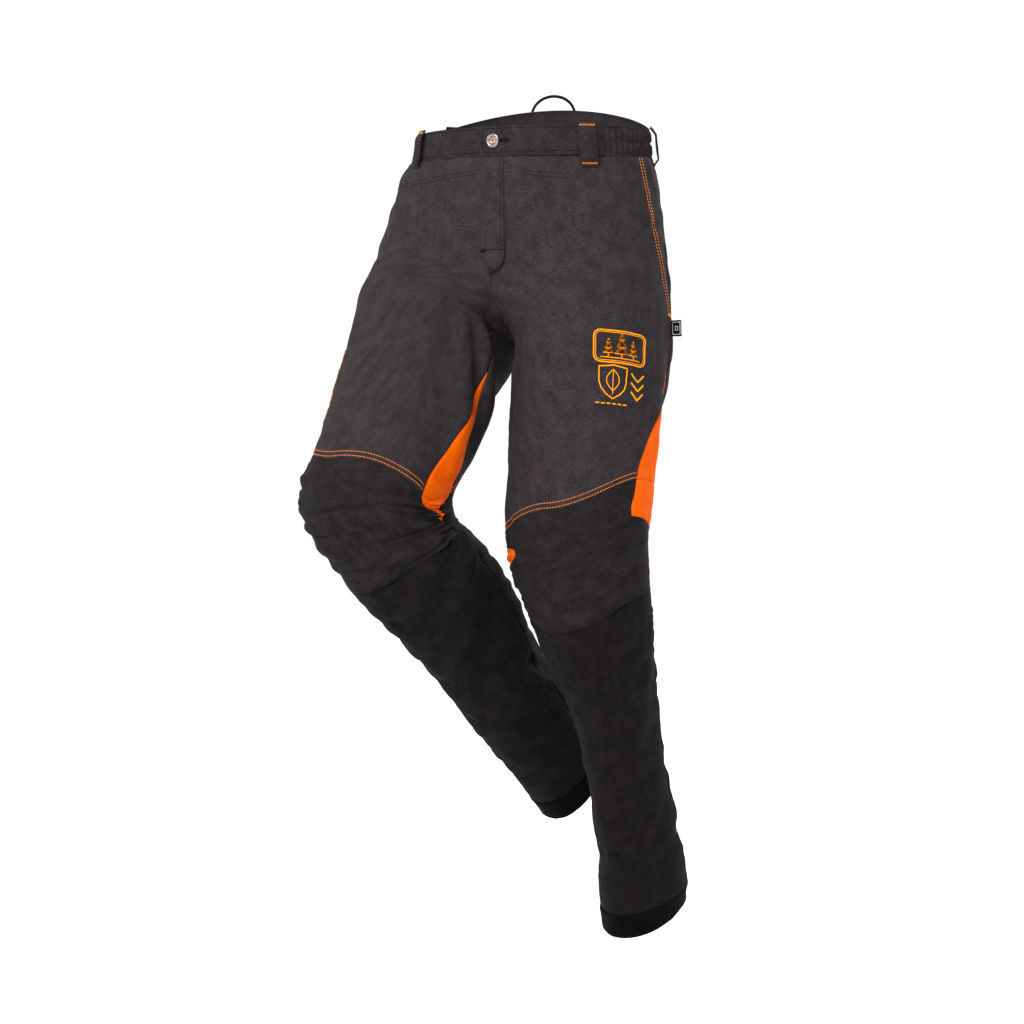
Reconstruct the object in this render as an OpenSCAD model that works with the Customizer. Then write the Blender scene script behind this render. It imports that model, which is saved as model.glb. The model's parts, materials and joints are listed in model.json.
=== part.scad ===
// Forestry leg protection in the form of full trousers, worn in a striding pose.
// +Z is up, the front faces -Y and +X is the wearer's left. The origin is the centre
// of the waist, level with the top edge of the front waistband.

/* [Waist] */
// Half width of the waist, side to side
waist_half_w = 163; // [150:1:175]
// Half depth of the waist, front to back
waist_half_d = 118; // [108:1:126]
// Height of the waistband
band_h = 38; // [34:1:44]
// How far the centre back stands above the centre front
back_rise = 42; // [25:1:50]
// Half width at the hips
hip_half_w = 192; // [186:1:198]
// Half depth of the seat at the back
seat_half_d = 136; // [128:1:142]

/* [Legs] */
// Half width of a thigh, hip to knee
thigh_half_w = 102; // [96:1:106]
// Half width of a knee
knee_half_w = 93; // [86:1:96]
// Half width of a leg hem
hem_half_w = 53; // [50:1:58]
// Half depth of a leg hem, front to back
hem_half_d = 70; // [60:1:76]

/* [Cloth] */
// Thickness of the outer cloth
shell_t = 2.2; // [1.6:0.1:2.6]
// Thickness of the layered cut-protection pad
pad_t = 6; // [4:0.5:7]
// Thickness of the lining
lining_t = 1.2; // [1:0.1:1.6]

/* [Fastenings] */
// Length of the fly zip
zip_l = 130; // [120:1:140]
// Radius of the waist button
button_r = 8.5; // [7.5:0.5:9.5]
// How far a belt loop stands off the waistband
loop_gap = 7.5; // [6.5:0.5:9]

/* [Hidden] */

right = -1;
left = 1;
// Joint centres of the striding pose
hip_right = [-97, -5, -150];
hip_left = [85, 0, -150];
knee_right = [-98, -236, -503];
knee_left = [121, -94, -574];
hem_right = [10, 100, -881];
hem_left = [147, 41, -1043];
hip_z = -150;
// Space between neighbouring pieces of one layer, at a fold, and between layers
gap = 0.4;
back_turn = 12; // how far the high point of the back lies to the wearer's right, degrees
loop_turn = 9; // the hanger loop faces along the waist there
fold_gap = 2.4;
layer_gap = 1.6;
// Radius about the hip axis of the trouser side that stays with the waist
side_r = 97;
// Length of thigh above its cloth: sides and front, inner leg, back
thigh_top = 110;
thigh_top_inner = 148;
// Cloth held back from the knee centre above and below it
knee_up = [115, 85, 55, 145];
knee_down = [70, 95, 70, 145];
hem_h = 24;
fly_x = 6;
fly_edge = -10;
fly_hinge = 26;
fly_bottom = -188;
// Lower end of the flap that lifts; the fly is stitched shut below it
flap_bottom = -160;
// Pitch of the zip's tooth blocks
tooth_pitch = 3.5;
// Distance of the waist button from the centre front
button_x = 9;
// Depth of the back yoke below the waistband
yoke_h = 55;
// Waist angles of the two sides of the back pocket
pocket_a = [214, 244];
dark = "#3f3a3d";
darker = "#242024";
orange = "#f06a08";
black = "#1c1a1c";
metal = "#a9a7a3";

// ---- General functions
function unit(v) = v / norm(v);
function mix(a, b, t) = a + (b - a) * t;
function clamp(t) = min(1, max(0, t));
function ease(t) = let (c = clamp(t)) c * c * (3 - 2 * c);
function hermite(p, tp, q, tq, v) =
    p * (2 * v ^ 3 - 3 * v ^ 2 + 1) + tp * (v ^ 3 - 2 * v ^ 2 + v)
    + q * (3 * v ^ 2 - 2 * v ^ 3) + tq * (v ^ 3 - v ^ 2);
// Value at an angle round a leg from its outer, front, inner and back values
function around(values, a) =
    let (c = cos(a), s = sin(a))
    (c > 0 ? values[0] : values[2]) * c * c + (s > 0 ? values[1] : values[3]) * s * s;

// ---- Waist and hips: a ring at angle a, 0 at the wearer's left and 90 in front
function rise(a) = back_rise * pow(max(0, -sin(a + back_turn)), 1.5);
function ring_w(z) = lookup(z, [
    [-260, hip_half_w + 2], [-150, hip_half_w - 2], [-110, hip_half_w - 4],
    [-60, waist_half_w + 11], [-30, waist_half_w + 4], [0, waist_half_w]]);
function ring_shift(z) = lookup(z, [[-110, -6], [0, 0]]);
function ring_back(z) = lookup(z, [
    [-160, seat_half_d], [-110, seat_half_d - 2], [-60, waist_half_d + 10],
    [-30, waist_half_d + 2], [0, waist_half_d]]);
function waist_at(a, z) =
    let (level = z - rise(a) * clamp(1 + z / 150))
    [ring_w(level) * cos(a) + ring_shift(level) * cos(a) ^ 2,
     -sin(a) * (sin(a) > 0 ? waist_half_d : ring_back(level)), z];
function front_y(x, z) = -waist_half_d * sqrt(1 - (x / ring_w(z)) ^ 2);
// Lower edge of the cloth that stays with the waist
function side_edge(a) =
    let (y = seat_half_d * sin(a)) hip_z - sqrt(max(0, side_r ^ 2 - y ^ 2));
function centre_edge(a) =
    sin(a) > 0 ? mix(-110, fly_bottom - 2, pow(sin(a), 24)) : -158;
low_edge = function (a)
    mix(side_edge(a), centre_edge(a), ease((abs(sin(a)) - 0.64) / 0.16));

// ---- Legs: an oval at angle a, 0 outside, 90 in front, 180 inside, 270 behind
function hip(side) = side > 0 ? hip_left : hip_right;
function knee(side) = side > 0 ? knee_left : knee_right;
function hem(side) = side > 0 ? hem_left : hem_right;
function thigh_dir(side) = unit(knee(side) - hip(side));
function shin_dir(side) = unit(hem(side) - knee(side));
function knee_axis(side) = unit(cross(thigh_dir(side), shin_dir(side)));
function thigh_l(side) = norm(knee(side) - hip(side));
function shin_l(side) = norm(hem(side) - knee(side));
function oval(side, centre, dir, size, a) =
    let (across = side * knee_axis(side), ahead = cross(dir, knee_axis(side)))
    centre + across * cos(a) * (cos(a) > 0 ? size[0] : size[2])
    + ahead * sin(a) * (sin(a) > 0 ? size[1] : size[3]);
function thigh_size(t) = [
    lookup(t, [[0.25, thigh_half_w + 1], [0.75, thigh_half_w - 3], [1, knee_half_w + 1]]),
    lookup(t, [[0.25, 112], [0.5, 103], [0.75, 99], [1, knee_half_w + 2]]),
    lookup(t, [[0.25, 82], [0.5, 91], [0.75, 95], [1, knee_half_w + 1]]),
    lookup(t, [[0.25, 124], [0.5, 112], [0.75, 100], [1, knee_half_w - 3]])];
function shin_size(t) = [
    lookup(t, [[0, knee_half_w], [0.12, 90], [0.3, 76], [0.5, 64], [0.75, 57], [1, hem_half_w]]),
    lookup(t, [[0, knee_half_w], [0.12, 92], [0.3, 84], [0.5, 76], [1, hem_half_d]]),
    lookup(t, [[0, knee_half_w], [0.12, 86], [0.3, 68], [0.5, 56], [0.75, 52], [1, hem_half_w]]),
    lookup(t, [[0, knee_half_w - 5], [0.12, 84], [0.3, 80], [0.5, 76], [1, hem_half_d]])];
function thigh_at(side, a, s) =
    oval(side, hip(side) + thigh_dir(side) * s, thigh_dir(side),
         thigh_size(s / thigh_l(side)), a);
function shin_at(side, a, s) =
    oval(side, knee(side) + shin_dir(side) * s, shin_dir(side),
         shin_size(s / shin_l(side)), a);
function thigh_start(a) = around([thigh_top, thigh_top, thigh_top_inner, thigh_top - 6], a);
function thigh_end(side, a) = thigh_l(side) - around(knee_up, a);
function shin_start(a) = around(knee_down, a);
// Seam below the fly, from centre front (0) round the crotch to centre back (1)
function crotch_at(side, q) =
    let (front = waist_at(90, fly_bottom - 2), back = waist_at(270, -158))
    [side * fold_gap - 3,
     mix(front[1], back[1], (1 - cos(180 * q)) / 2),
     mix(front[2], back[2], q) - 110 * sin(180 * q) - fold_gap];
function waist_angle(side, a) = side > 0 ? a : 180 - a;
crotch_a = 112;
// The fold's upper edge lies just behind the cloth above it
function tucked(p) = [0.972 * p[0], 0.972 * p[1], p[2] - 1];
function hip_edge(side, a) =
    let (turned = a > 180 ? a - 360 : a)
    abs(turned) < crotch_a
    ? let (w = waist_angle(side, sign(turned) * 89.6 * pow(abs(turned) / crotch_a, 1.4)))
        tucked(waist_at(w, low_edge(w) - fold_gap))
    : crotch_at(side, (a - crotch_a) / (360 - 2 * crotch_a));
function hip_at(side, a, v) =
    let (p = hip_edge(side, a), q = thigh_at(side, a, thigh_start(a) - 2.6 * fold_gap),
         inner = pow(max(0, -cos(a)), 2), reach = 0.55 * norm(q - p))
    hermite(p, unit([side * inner, 0, -1]) * reach, q, thigh_dir(side) * reach, v);
function knee_at(side, a, v) =
    let (p = thigh_at(side, a, thigh_end(side, a) + fold_gap),
         q = shin_at(side, a, shin_start(a) - fold_gap), reach = 1.17 * norm(q - p))
    hermite(p, thigh_dir(side) * reach, q, shin_dir(side) * reach, v);

// ---- Cloth: a grid of points, rows downwards, made into a closed slab
function normal_at(g, i, j, closed) =
    let (rows = len(g), cols = len(g[0]),
         before = closed ? (j + cols - 1) % cols : max(j - 1, 0),
         after = closed ? (j + 1) % cols : min(j + 1, cols - 1))
    unit(cross(g[i][after] - g[i][before], g[min(i + 1, rows - 1)][j] - g[max(i - 1, 0)][j]));
function shifted(g, out, closed) =
    [for (i = [0 : len(g) - 1]) [for (j = [0 : len(g[0]) - 1])
        g[i][j] + out * normal_at(g, i, j, closed)]];

// Cloth of a thickness whose outer face is the grid moved out by a distance
module slab(grid, out, thick, closed = false) {
    rows = len(grid);
    cols = len(grid[0]);
    outer = shifted(grid, out, closed);
    inner = shifted(grid, out - thick, closed);
    points = [for (g = [outer, inner]) for (row = g) for (p = row) p];
    steps = closed ? cols - 1 : cols - 2;
    half = rows * cols;
    faces = [
        for (i = [0 : rows - 2]) for (j = [0 : steps])
            let (k = (j + 1) % cols, a = i * cols + j, b = i * cols + k, c = b + cols, d = a + cols)
            each [[a, c, b], [a, d, c], [half + a, half + b, half + c], [half + a, half + c, half + d]],
        for (j = [0 : steps])
            let (k = (j + 1) % cols, e = (rows - 1) * cols)
            each [[j, k, half + k], [j, half + k, half + j],
                  [e + j, half + e + k, e + k], [e + j, half + e + j, half + e + k]],
        if (!closed) for (i = [0 : rows - 2])
            let (a = i * cols, d = a + cols, b = a + cols - 1, c = b + cols)
            each [[a, half + d, d], [a, half + a, half + d],
                  [b, c, half + c], [b, half + c, half + b]],
    ];
    polyhedron(points, faces, convexity = 6);
}

// Grid of a waist piece between two angles and two distances below the top edge
function waist_grid(from, to, high, low, cols, rows) =
    [for (i = [0 : rows]) [for (j = [0 : cols])
        let (a = mix(from, to, j / cols)) waist_at(a, mix(high(a), low(a), i / rows))]];
band_seam = function (a) rise(a) - band_h;
// Grid of a leg piece: edge angles vary down the piece, ends vary round it
function leg_grid(side, from, to, cols, rows, place) =
    [for (i = [0 : rows]) [for (j = [0 : cols])
        let (v = i / rows, u = side > 0 ? j / cols : 1 - j / cols)
        place(mix(from(v), to(v), u), v)]];
function thigh_place(side, top = 0, end = 0) = function (a, v)
    thigh_at(side, a, mix(thigh_start(a) + top, thigh_end(side, a) - end, v));
function shin_place(side) = function (a, v)
    shin_at(side, a, mix(shin_start(a), shin_l(side) - hem_h - gap, v));
function same(a) = function (v) a;

// ---- Waistband
module band(from, to, cols) {
    slab(waist_grid(from, to, function (a) rise(a),
        function (a) band_seam(a) + gap, cols, 2), 0.6, 3);
}
module waistband_front_right() {
    color(dark) band(94.2, 147, 10);
}
module waistband_front_left() {
    color(dark) difference() {
        band(33.2, 93.8, 12);
        translate([9, -waist_half_d, -band_h / 2]) hull() for (x = [0, 20])
            translate([x, 0, 0]) rotate([90, 0, 0]) cylinder(h = 20, r = 2.6, center = true, $fn = 16);
    }
}
module waistband_side_right() {
    color(darker) band(147.3, 206.8, 12);
}
module waistband_side_left() {
    color(darker) band(-26.8, 32.9, 12);
}
module waistband_back() {
    color(dark) band(207.1, 332.9, 24);
}
module waistband_underlap() {
    color(dark) slab(waist_grid(76, 99, function (a) -2,
        function (a) gap - band_h, 6, 2), -3, 2);
}
module elastic(from, to) {
    color("#d8d4cc") for (z = [-4, -21]) slab(waist_grid(from, to,
        function (a) rise(a) + z, function (a) rise(a) + z - 13, 10, 1), -2.9, 1.2);
}
module elastic_right() {
    elastic(149, 205);
}
module elastic_left() {
    elastic(-25, 31);
}

// ---- Upper trousers
module upper(from, to, cols) {
    slab(waist_grid(from, to, function (a) band_seam(a), low_edge, cols, 6), 0, shell_t);
}
module front_panel_right() {
    color(dark) upper(89.3, 179.8, 30);
}
module front_panel_left() {
    color(dark) upper(0.2, 86.4, 30);
}
module seat(from, to) {
    slab(waist_grid(from, to, function (a) band_seam(a) - (yoke_h + gap) * ease(-sin(a) * 3),
        low_edge, 30, 5), 0, shell_t);
}
module seat_panel_right() {
    color(dark) seat(180.2, 269.8);
}
module seat_panel_left() {
    color(dark) seat(270.2, 359.8);
}
module back_yoke() {
    color(dark) slab(waist_grid(184, 356, band_seam,
        function (a) band_seam(a) - yoke_h * ease(-sin(a) * 3), 30, 2), 0, shell_t);
}
module pocket_bag(side) {
    edges = side > 0 ? [-12, 44] : [136, 192];
    color("#cfcac2") slab(waist_grid(edges[0], edges[1], function (a) -band_h - 8,
        function (a) -200, 20, 8), -shell_t - 3 * layer_gap, 1.2);
}
module pocket_bag_right() {
    pocket_bag(right);
}
module pocket_bag_left() {
    pocket_bag(left);
}

// ---- Fly and zip
module fly_flap() {
    grid = [for (z = [-band_h - 1, -80, -125, flap_bottom]) [for (i = [6 : -1 : 0])
        let (x = mix(fly_edge, fly_hinge - 1.5, i / 6)) [x, front_y(x, z), z]]];
    color(dark) slab(grid, 6.2, shell_t);
}
module zip_tape(side) {
    color(black) translate([fly_x + (side > 0 ? 0.2 : -15.2), -waist_half_d + 3.6, -band_h - zip_l - 4])
        cube([15, 0.8, zip_l + 2]);
}
module zip_tape_right() {
    zip_tape(right);
}
module zip_tape_left() {
    zip_tape(left);
}
module zip_teeth() {
    color(metal) for (i = [0 : floor((zip_l - 8) / tooth_pitch)])
        translate([fly_x - 2.4, -waist_half_d + 1.4, -band_h - 6 - i * tooth_pitch])
            cube([4.8, 1.9, 1.8], center = false);
}
module zip_stops() {
    color(metal) for (z = [-band_h - 3.2, -band_h - zip_l - 1])
        translate([fly_x - 2.8, -waist_half_d + 1.2, z]) cube([5.6, 2.1, 2]);
}
module zip_slider() {
    color(metal) translate([fly_x, -waist_half_d - 2.6, -band_h - 16]) hull() {
        translate([-4.6, 0, 9]) cube([9.2, 2.2, 0.5]);
        translate([-3.2, 0, 0]) cube([6.4, 2.2, 0.5]);
    }
}
module zip_pull() {
    color(metal) translate([fly_x, -waist_half_d - 0.6, -band_h - 17]) rotate([90, 0, 0])
        linear_extrude(height = 1.8) difference() {
            hull() {
                translate([0, -3]) circle(r = 2.6, $fn = 24);
                translate([0, -19]) circle(r = 4, $fn = 24);
            }
            translate([0, -18]) circle(r = 2, $fn = 20);
        }
}
module fly_shield() {
    color(darker) translate([fly_x - 22, -waist_half_d + 5, -band_h - zip_l - 8])
        cube([42, 1.6, zip_l + 4]);
}
module waist_button() {
    color(metal) translate([button_x, -waist_half_d - 1.4, -band_h / 2]) rotate([90, 0, 0]) {
        rotate_extrude($fn = 48) polygon([[0, -3.8], [2, -3.8], [2, 0], [button_r - 0.6, 0],
            [button_r, 0.8], [button_r - 0.8, 2.4], [4.6, 2.6], [3.6, 1.5], [0, 1.5]]);
    }
}
module button_tack() {
    color(metal) translate([button_x, -waist_half_d + 6, -band_h / 2]) rotate([-90, 0, 0])
        cylinder(h = 1.2, r = 4.5, $fn = 32);
}

// ---- Belt loops, hanger loop and back pocket
function loop_stand(t) = (loop_gap + 1.8) * ease(t / 0.16) * ease((1 - t) / 0.16) + 2.4;
module belt_loop(a, half, high, long) {
    rows = 12;
    flat = [for (i = [0 : rows]) [for (j = [0 : 2])
        waist_at(a + (j - 1) * half, rise(a) + high - long * i / rows)]];
    grid = [for (i = [0 : rows]) [for (j = [0 : 2])
        flat[i][j] + loop_stand(i / rows) * unit(normal_at(flat, i, 1, false))]];
    color(darker) slab(grid, 0, 1.6);
}
module belt_loop_front_right() {
    belt_loop(139, 5, 3, 58);
}
module belt_loop_front_left() {
    belt_loop(41, 5, 3, 58);
}
module belt_loop_hip_right() {
    belt_loop(202, 5.5, 2, 54);
}
module belt_loop_hip_left() {
    belt_loop(-22, 5.5, 2, 54);
}
module hanger_loop() {
    arch_r = 30;
    middle = waist_at(270 - back_turn, back_rise);
    color(darker) translate([middle.x, middle.y, 0]) rotate([0, 0, loop_turn]) {
        translate([0, 2.2, back_rise - 6]) rotate([90, 0, 0])
            rotate_extrude(angle = 180, $fn = 64) translate([arch_r, 0]) square([2.4, 5], center = true);
        for (x = [-arch_r, arch_r])
            translate([x - 1.2, 0.3, back_rise - 18]) cube([2.4, 1.8, 12]);
    }
}
module back_pocket() {
    color(dark) slab(waist_grid(pocket_a[0], pocket_a[1], function (a) -44,
        function (a) -134, 8, 4), 2.6, 2);
}
module back_pocket_flap() {
    color(dark) slab(waist_grid(pocket_a[0] - 0.8, pocket_a[1] + 0.8, function (a) -30,
        function (a) -70, 8, 3), 5.4, 2);
}

// ---- Legs
module hip_fold(side) {
    color(dark) slab(leg_grid(side, same(0), same(352.5), 47, 5,
        function (a, v) hip_at(side, a, v)), 0, shell_t, true);
}
// Side panels of lighter cloth: half width in degrees, widest just above the knee
function vent_w(v) = 3 + 29 * ease((v - 0.18) / 0.75);
outer_vent = -22;
inner_vent = 202;
vent_top = 90;
module thigh_front(side) {
    color(dark) slab(leg_grid(side, function (v) outer_vent + vent_w(v) + 0.3,
        function (v) inner_vent - vent_w(v) - 0.3, 20, 8, thigh_place(side)), 0, shell_t);
}
module thigh_back(side) {
    color(dark) slab(leg_grid(side, function (v) inner_vent + vent_w(v) * 0.7 + 0.3,
        function (v) 360 + outer_vent - vent_w(v) * 0.7 - 0.3, 14, 8, thigh_place(side)), 0, shell_t);
}
module vent(side, middle, front) {
    color(orange) slab(leg_grid(side, function (v) middle - vent_w(v) * (front > 0 ? 0.7 : 1),
        function (v) middle + vent_w(v) * (front > 0 ? 1 : 0.7), 4, 8, thigh_place(side)), 0, shell_t);
}
module thigh_pad(side) {
    color("#e9e3d2") slab(leg_grid(side, same(-4), same(186), 16, 6,
        thigh_place(side, 14, 8)), -shell_t - layer_gap, pad_t);
}
module thigh_lining(side) {
    color("#8d8a88") slab(leg_grid(side, same(0), same(345), 23, 5, thigh_place(side, 16, 6)),
        -shell_t - pad_t - 2 * layer_gap, lining_t, true);
}
function knee_place(side) = function (a, v) knee_at(side, a, v);
module knee_panel(side) {
    color(darker) slab(leg_grid(side, same(-9.6), same(189.6), 18, 10, knee_place(side)), 0, shell_t);
}
module knee_back(side) {
    color(darker) slab(leg_grid(side, same(190.4), same(349.6), 14, 7, knee_place(side)), 0, shell_t);
}
module shin_front(side) {
    color(darker) slab(leg_grid(side, same(-9.6), same(189.6), 16, 8, shin_place(side)), 0, shell_t);
}
module shin_back(side) {
    color(darker) slab(leg_grid(side, same(190.4), same(349.6), 14, 8, shin_place(side)), 0, shell_t);
}
module shin_pad(side) {
    color("#e9e3d2") slab(leg_grid(side, same(-4), same(184), 14, 6, function (a, v)
        shin_at(side, a, mix(shin_start(a) + 12, shin_l(side) - hem_h - 30, v))),
        -shell_t - layer_gap, pad_t);
}
module hem_cuff(side) {
    color(darker) slab(leg_grid(side, same(0), same(345), 23, 1, function (a, v)
        shin_at(side, a, shin_l(side) - hem_h * (1 - v))), 0.5, shell_t + 1.2, true);
}
module thigh_badge() {
    color(orange) slab(leg_grid(left, same(6), same(56), 8, 3, function (a, v)
        thigh_at(left, a, mix(132, 232, v))), 1.2, 0.8);
}
module side_label() {
    base = thigh_at(left, -14, thigh_top + 14);
    color(black) translate(base + [0.5, 0, -12]) rotate([0, 4, -30]) cube([16, 1.6, 24]);
}

waistband_front_right();
waistband_front_left();
waistband_side_right();
waistband_side_left();
waistband_back();
waistband_underlap();
elastic_right();
elastic_left();
front_panel_right();
front_panel_left();
seat_panel_right();
seat_panel_left();
back_yoke();
fly_flap();
fly_shield();
zip_tape_right();
zip_tape_left();
zip_teeth();
zip_stops();
zip_slider();
zip_pull();
waist_button();
button_tack();
pocket_bag_right();
pocket_bag_left();
belt_loop_front_right();
belt_loop_front_left();
belt_loop_hip_right();
belt_loop_hip_left();
hanger_loop();
back_pocket();
back_pocket_flap();
hip_fold(right);  // hip_fold_right
thigh_front(right);  // thigh_front_right
thigh_back(right);  // thigh_back_right
vent(right, outer_vent, 1);  // vent_outer_right
vent(right, inner_vent, -1);  // vent_inner_right
thigh_pad(right);  // thigh_pad_right
thigh_lining(right);  // thigh_lining_right
knee_panel(right);  // knee_panel_right
knee_back(right);  // knee_back_right
shin_front(right);  // shin_front_right
shin_back(right);  // shin_back_right
shin_pad(right);  // shin_pad_right
hem_cuff(right);  // hem_cuff_right
hip_fold(left);  // hip_fold_left
thigh_front(left);  // thigh_front_left
thigh_back(left);  // thigh_back_left
vent(left, outer_vent, 1);  // vent_outer_left
vent(left, inner_vent, -1);  // vent_inner_left
thigh_pad(left);  // thigh_pad_left
thigh_lining(left);  // thigh_lining_left
knee_panel(left);  // knee_panel_left
knee_back(left);  // knee_back_left
shin_front(left);  // shin_front_left
shin_back(left);  // shin_back_left
shin_pad(left);  // shin_pad_left
hem_cuff(left);  // hem_cuff_left
side_label();
thigh_badge();
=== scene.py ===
"""Forestry protective trousers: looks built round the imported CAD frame, in metres."""
import json
import math

import bpy
import numpy as np
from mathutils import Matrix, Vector
from mathutils.kdtree import KDTree


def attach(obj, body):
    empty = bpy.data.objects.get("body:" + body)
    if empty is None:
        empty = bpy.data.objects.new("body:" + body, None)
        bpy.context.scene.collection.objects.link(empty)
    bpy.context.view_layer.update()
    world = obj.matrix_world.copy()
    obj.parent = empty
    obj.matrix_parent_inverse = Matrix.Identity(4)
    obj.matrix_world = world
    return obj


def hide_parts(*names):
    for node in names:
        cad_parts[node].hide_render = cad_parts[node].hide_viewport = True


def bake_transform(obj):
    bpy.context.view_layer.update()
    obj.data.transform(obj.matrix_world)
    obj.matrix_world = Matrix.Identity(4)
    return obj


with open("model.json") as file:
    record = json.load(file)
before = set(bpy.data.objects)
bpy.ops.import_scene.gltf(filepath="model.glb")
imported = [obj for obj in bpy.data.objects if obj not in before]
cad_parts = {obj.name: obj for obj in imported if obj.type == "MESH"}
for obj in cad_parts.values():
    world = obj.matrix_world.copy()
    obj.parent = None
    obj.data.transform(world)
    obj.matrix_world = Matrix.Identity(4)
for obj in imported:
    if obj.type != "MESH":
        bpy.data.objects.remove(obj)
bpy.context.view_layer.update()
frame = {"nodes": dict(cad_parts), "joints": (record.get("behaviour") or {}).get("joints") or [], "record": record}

# ---------------------------------------------------------------- sizes, in metres
SIDES = {"right": -1, "left": 1}
JOINTS = {j["name"]: j for j in frame["joints"]}
MOUNTS = {m["name"]: m for m in frame["record"]["mounts"]}
HIP = {s: np.array(JOINTS["hip_" + s]["pos_m"]) for s in SIDES}
KNEE = {s: np.array(JOINTS["knee_" + s]["pos_m"]) for s in SIDES}
HEM = {s: np.array(MOUNTS["hem_" + s]["pos_m"]) for s in SIDES}
BAND_H = 0.038  # height of the waistband
BACK_RISE = 0.042  # how far the waist's back stands above its front
BACK_TURN = 12.0  # how far the back's high point lies to the wearer's right, in degrees
FOLD_MAX = 0.007  # depth that no simulated fold passes
FRONT_Y = -0.118  # the waist's front
FLY_BOTTOM = -0.190  # the fly's lower end
HEM_H = 0.026  # height of the hem cuffs
CLOTH_T = 0.0014  # thickness of the cloth
THIGH_START = (0.125, 0.125, 0.150, 0.125)  # where the round thigh starts below the hip centre


def unit(v):
    return v / np.maximum(np.linalg.norm(v, axis=-1, keepdims=True), 1e-12)


def mix(a, b, t):
    return a + (b - a) * t


def ease(t):
    t = np.clip(t, 0, 1)
    return t * t * (3 - 2 * t)


def cosd(a):
    return np.cos(np.radians(a))


def sind(a):
    return np.sin(np.radians(a))


def table(x, *pairs):
    """Value at x of a smooth line through (x, value) pairs."""
    xs, ys = np.array(sorted(pairs), float).T
    slopes = np.gradient(ys, xs)
    i = np.clip(np.searchsorted(xs, x) - 1, 0, len(xs) - 2)
    h = xs[i + 1] - xs[i]
    t = np.clip((x - xs[i]) / h, 0, 1)
    return (ys[i] * (2 * t**3 - 3 * t**2 + 1) + slopes[i] * h * (t**3 - 2 * t**2 + t)
            + ys[i + 1] * (3 * t**2 - 2 * t**3) + slopes[i + 1] * h * (t**3 - t**2))


def hermite(p, tp, q, tq, v):
    return (p * (2 * v**3 - 3 * v**2 + 1) + tp * (v**3 - 2 * v**2 + v)
            + q * (3 * v**2 - 2 * v**3) + tq * (v**3 - v**2))


def around(values, a):
    """Value at angle a round a leg from its outer, front, inner and back values."""
    c, s = cosd(a), sind(a)
    return (np.where(c > 0, values[0], values[2]) * c**2
            + np.where(s > 0, values[1], values[3]) * s**2)


# ---------------------------------------------------------------- the worn shape
def rise(a):
    """How far the waist's top edge stands above the front at angle a (90 is the front)."""
    return BACK_RISE * np.maximum(0, -sind(a + BACK_TURN)) ** 1.5


def ring_w(z):
    """Half width of the waist at a height."""
    return table(z, (-0.26, 0.194), (-0.15, 0.190), (-0.11, 0.187), (-0.06, 0.175), (-0.03, 0.167),
                 (0, 0.163))


def ring_back(z):
    """How far back the waist reaches at a height."""
    return table(z, (-0.2, 0.136), (-0.11, 0.134), (-0.06, 0.127), (-0.03, 0.120), (0, 0.118))


def waist_at(a, z):
    """Point of the waist at angle a and height z."""
    level = z - rise(a) * np.clip(1 + z / 0.15, 0, 1)
    shift = table(level, (-0.2, -0.006), (-0.11, -0.006), (0, 0))
    x = ring_w(level) * cosd(a) + shift * cosd(a) ** 2
    y = -sind(a) * np.where(sind(a) > 0, -FRONT_Y, ring_back(level))
    return np.stack(np.broadcast_arrays(x, y, z), -1)


# Height of the knee seam above the knee, on the outside, front, inside and back
KNEE_SEAM = {"right": (0.090, 0.032, 0.022, 0.110), "left": (0.112, 0.060, 0.034, 0.110)}


class Leg:
    """The worn leg as ovals along thigh and shin. Angle 0 is outside, 90 in front, 180 inside."""

    def __init__(self, side):
        self.sign, self.seam = SIDES[side], KNEE_SEAM[side]
        self.hip, self.knee = HIP[side], KNEE[side]
        self.thigh_l = np.linalg.norm(KNEE[side] - HIP[side])
        self.shin_l = np.linalg.norm(HEM[side] - KNEE[side])
        self.thigh_dir = (KNEE[side] - HIP[side]) / self.thigh_l
        self.shin_dir = (HEM[side] - KNEE[side]) / self.shin_l
        self.axis = unit(np.cross(self.thigh_dir, self.shin_dir))

    def oval(self, start, direction, s, size, a):
        ahead = np.cross(direction, self.axis)
        c, n = cosd(a), sind(a)
        across = np.where(c > 0, size[0], size[2]) * c * self.sign
        forward = np.where(n > 0, size[1], size[3]) * n
        return (start + s[..., None] * direction + across[..., None] * self.axis
                + forward[..., None] * ahead)

    def thigh(self, a, s):
        t = s / self.thigh_l
        size = (table(t, (0, 0.103), (0.25, 0.103), (0.75, 0.099), (1, 0.094)),
                table(t, (0, 0.115), (0.25, 0.112), (0.5, 0.103), (0.75, 0.099), (1, 0.095)),
                table(t, (0, 0.080), (0.25, 0.082), (0.5, 0.091), (0.75, 0.095), (1, 0.094)),
                table(t, (0, 0.128), (0.25, 0.122), (0.5, 0.110), (0.75, 0.100), (1, 0.090)))
        return self.oval(self.hip, self.thigh_dir, s, size, a)

    def shin(self, a, s):
        t = s / self.shin_l
        size = (table(t, (0, 0.093), (0.12, 0.090), (0.3, 0.076), (0.5, 0.064), (0.75, 0.057),
                      (1, 0.054)),
                table(t, (0, 0.093), (0.12, 0.092), (0.3, 0.084), (0.5, 0.076), (1, 0.070)),
                table(t, (0, 0.093), (0.12, 0.086), (0.3, 0.068), (0.5, 0.056), (0.75, 0.052),
                      (1, 0.052)),
                table(t, (0, 0.088), (0.12, 0.084), (0.3, 0.080), (0.5, 0.076), (1, 0.070)))
        return self.oval(self.knee, self.shin_dir, s, size, a)

    def knee_seam(self, a):
        return self.thigh_l - around(self.seam, a)

    def shin_seam(self, a):
        return around((0.070, 0.095, 0.070, 0.110), a)


LEGS = {s: Leg(s) for s in SIDES}

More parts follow.
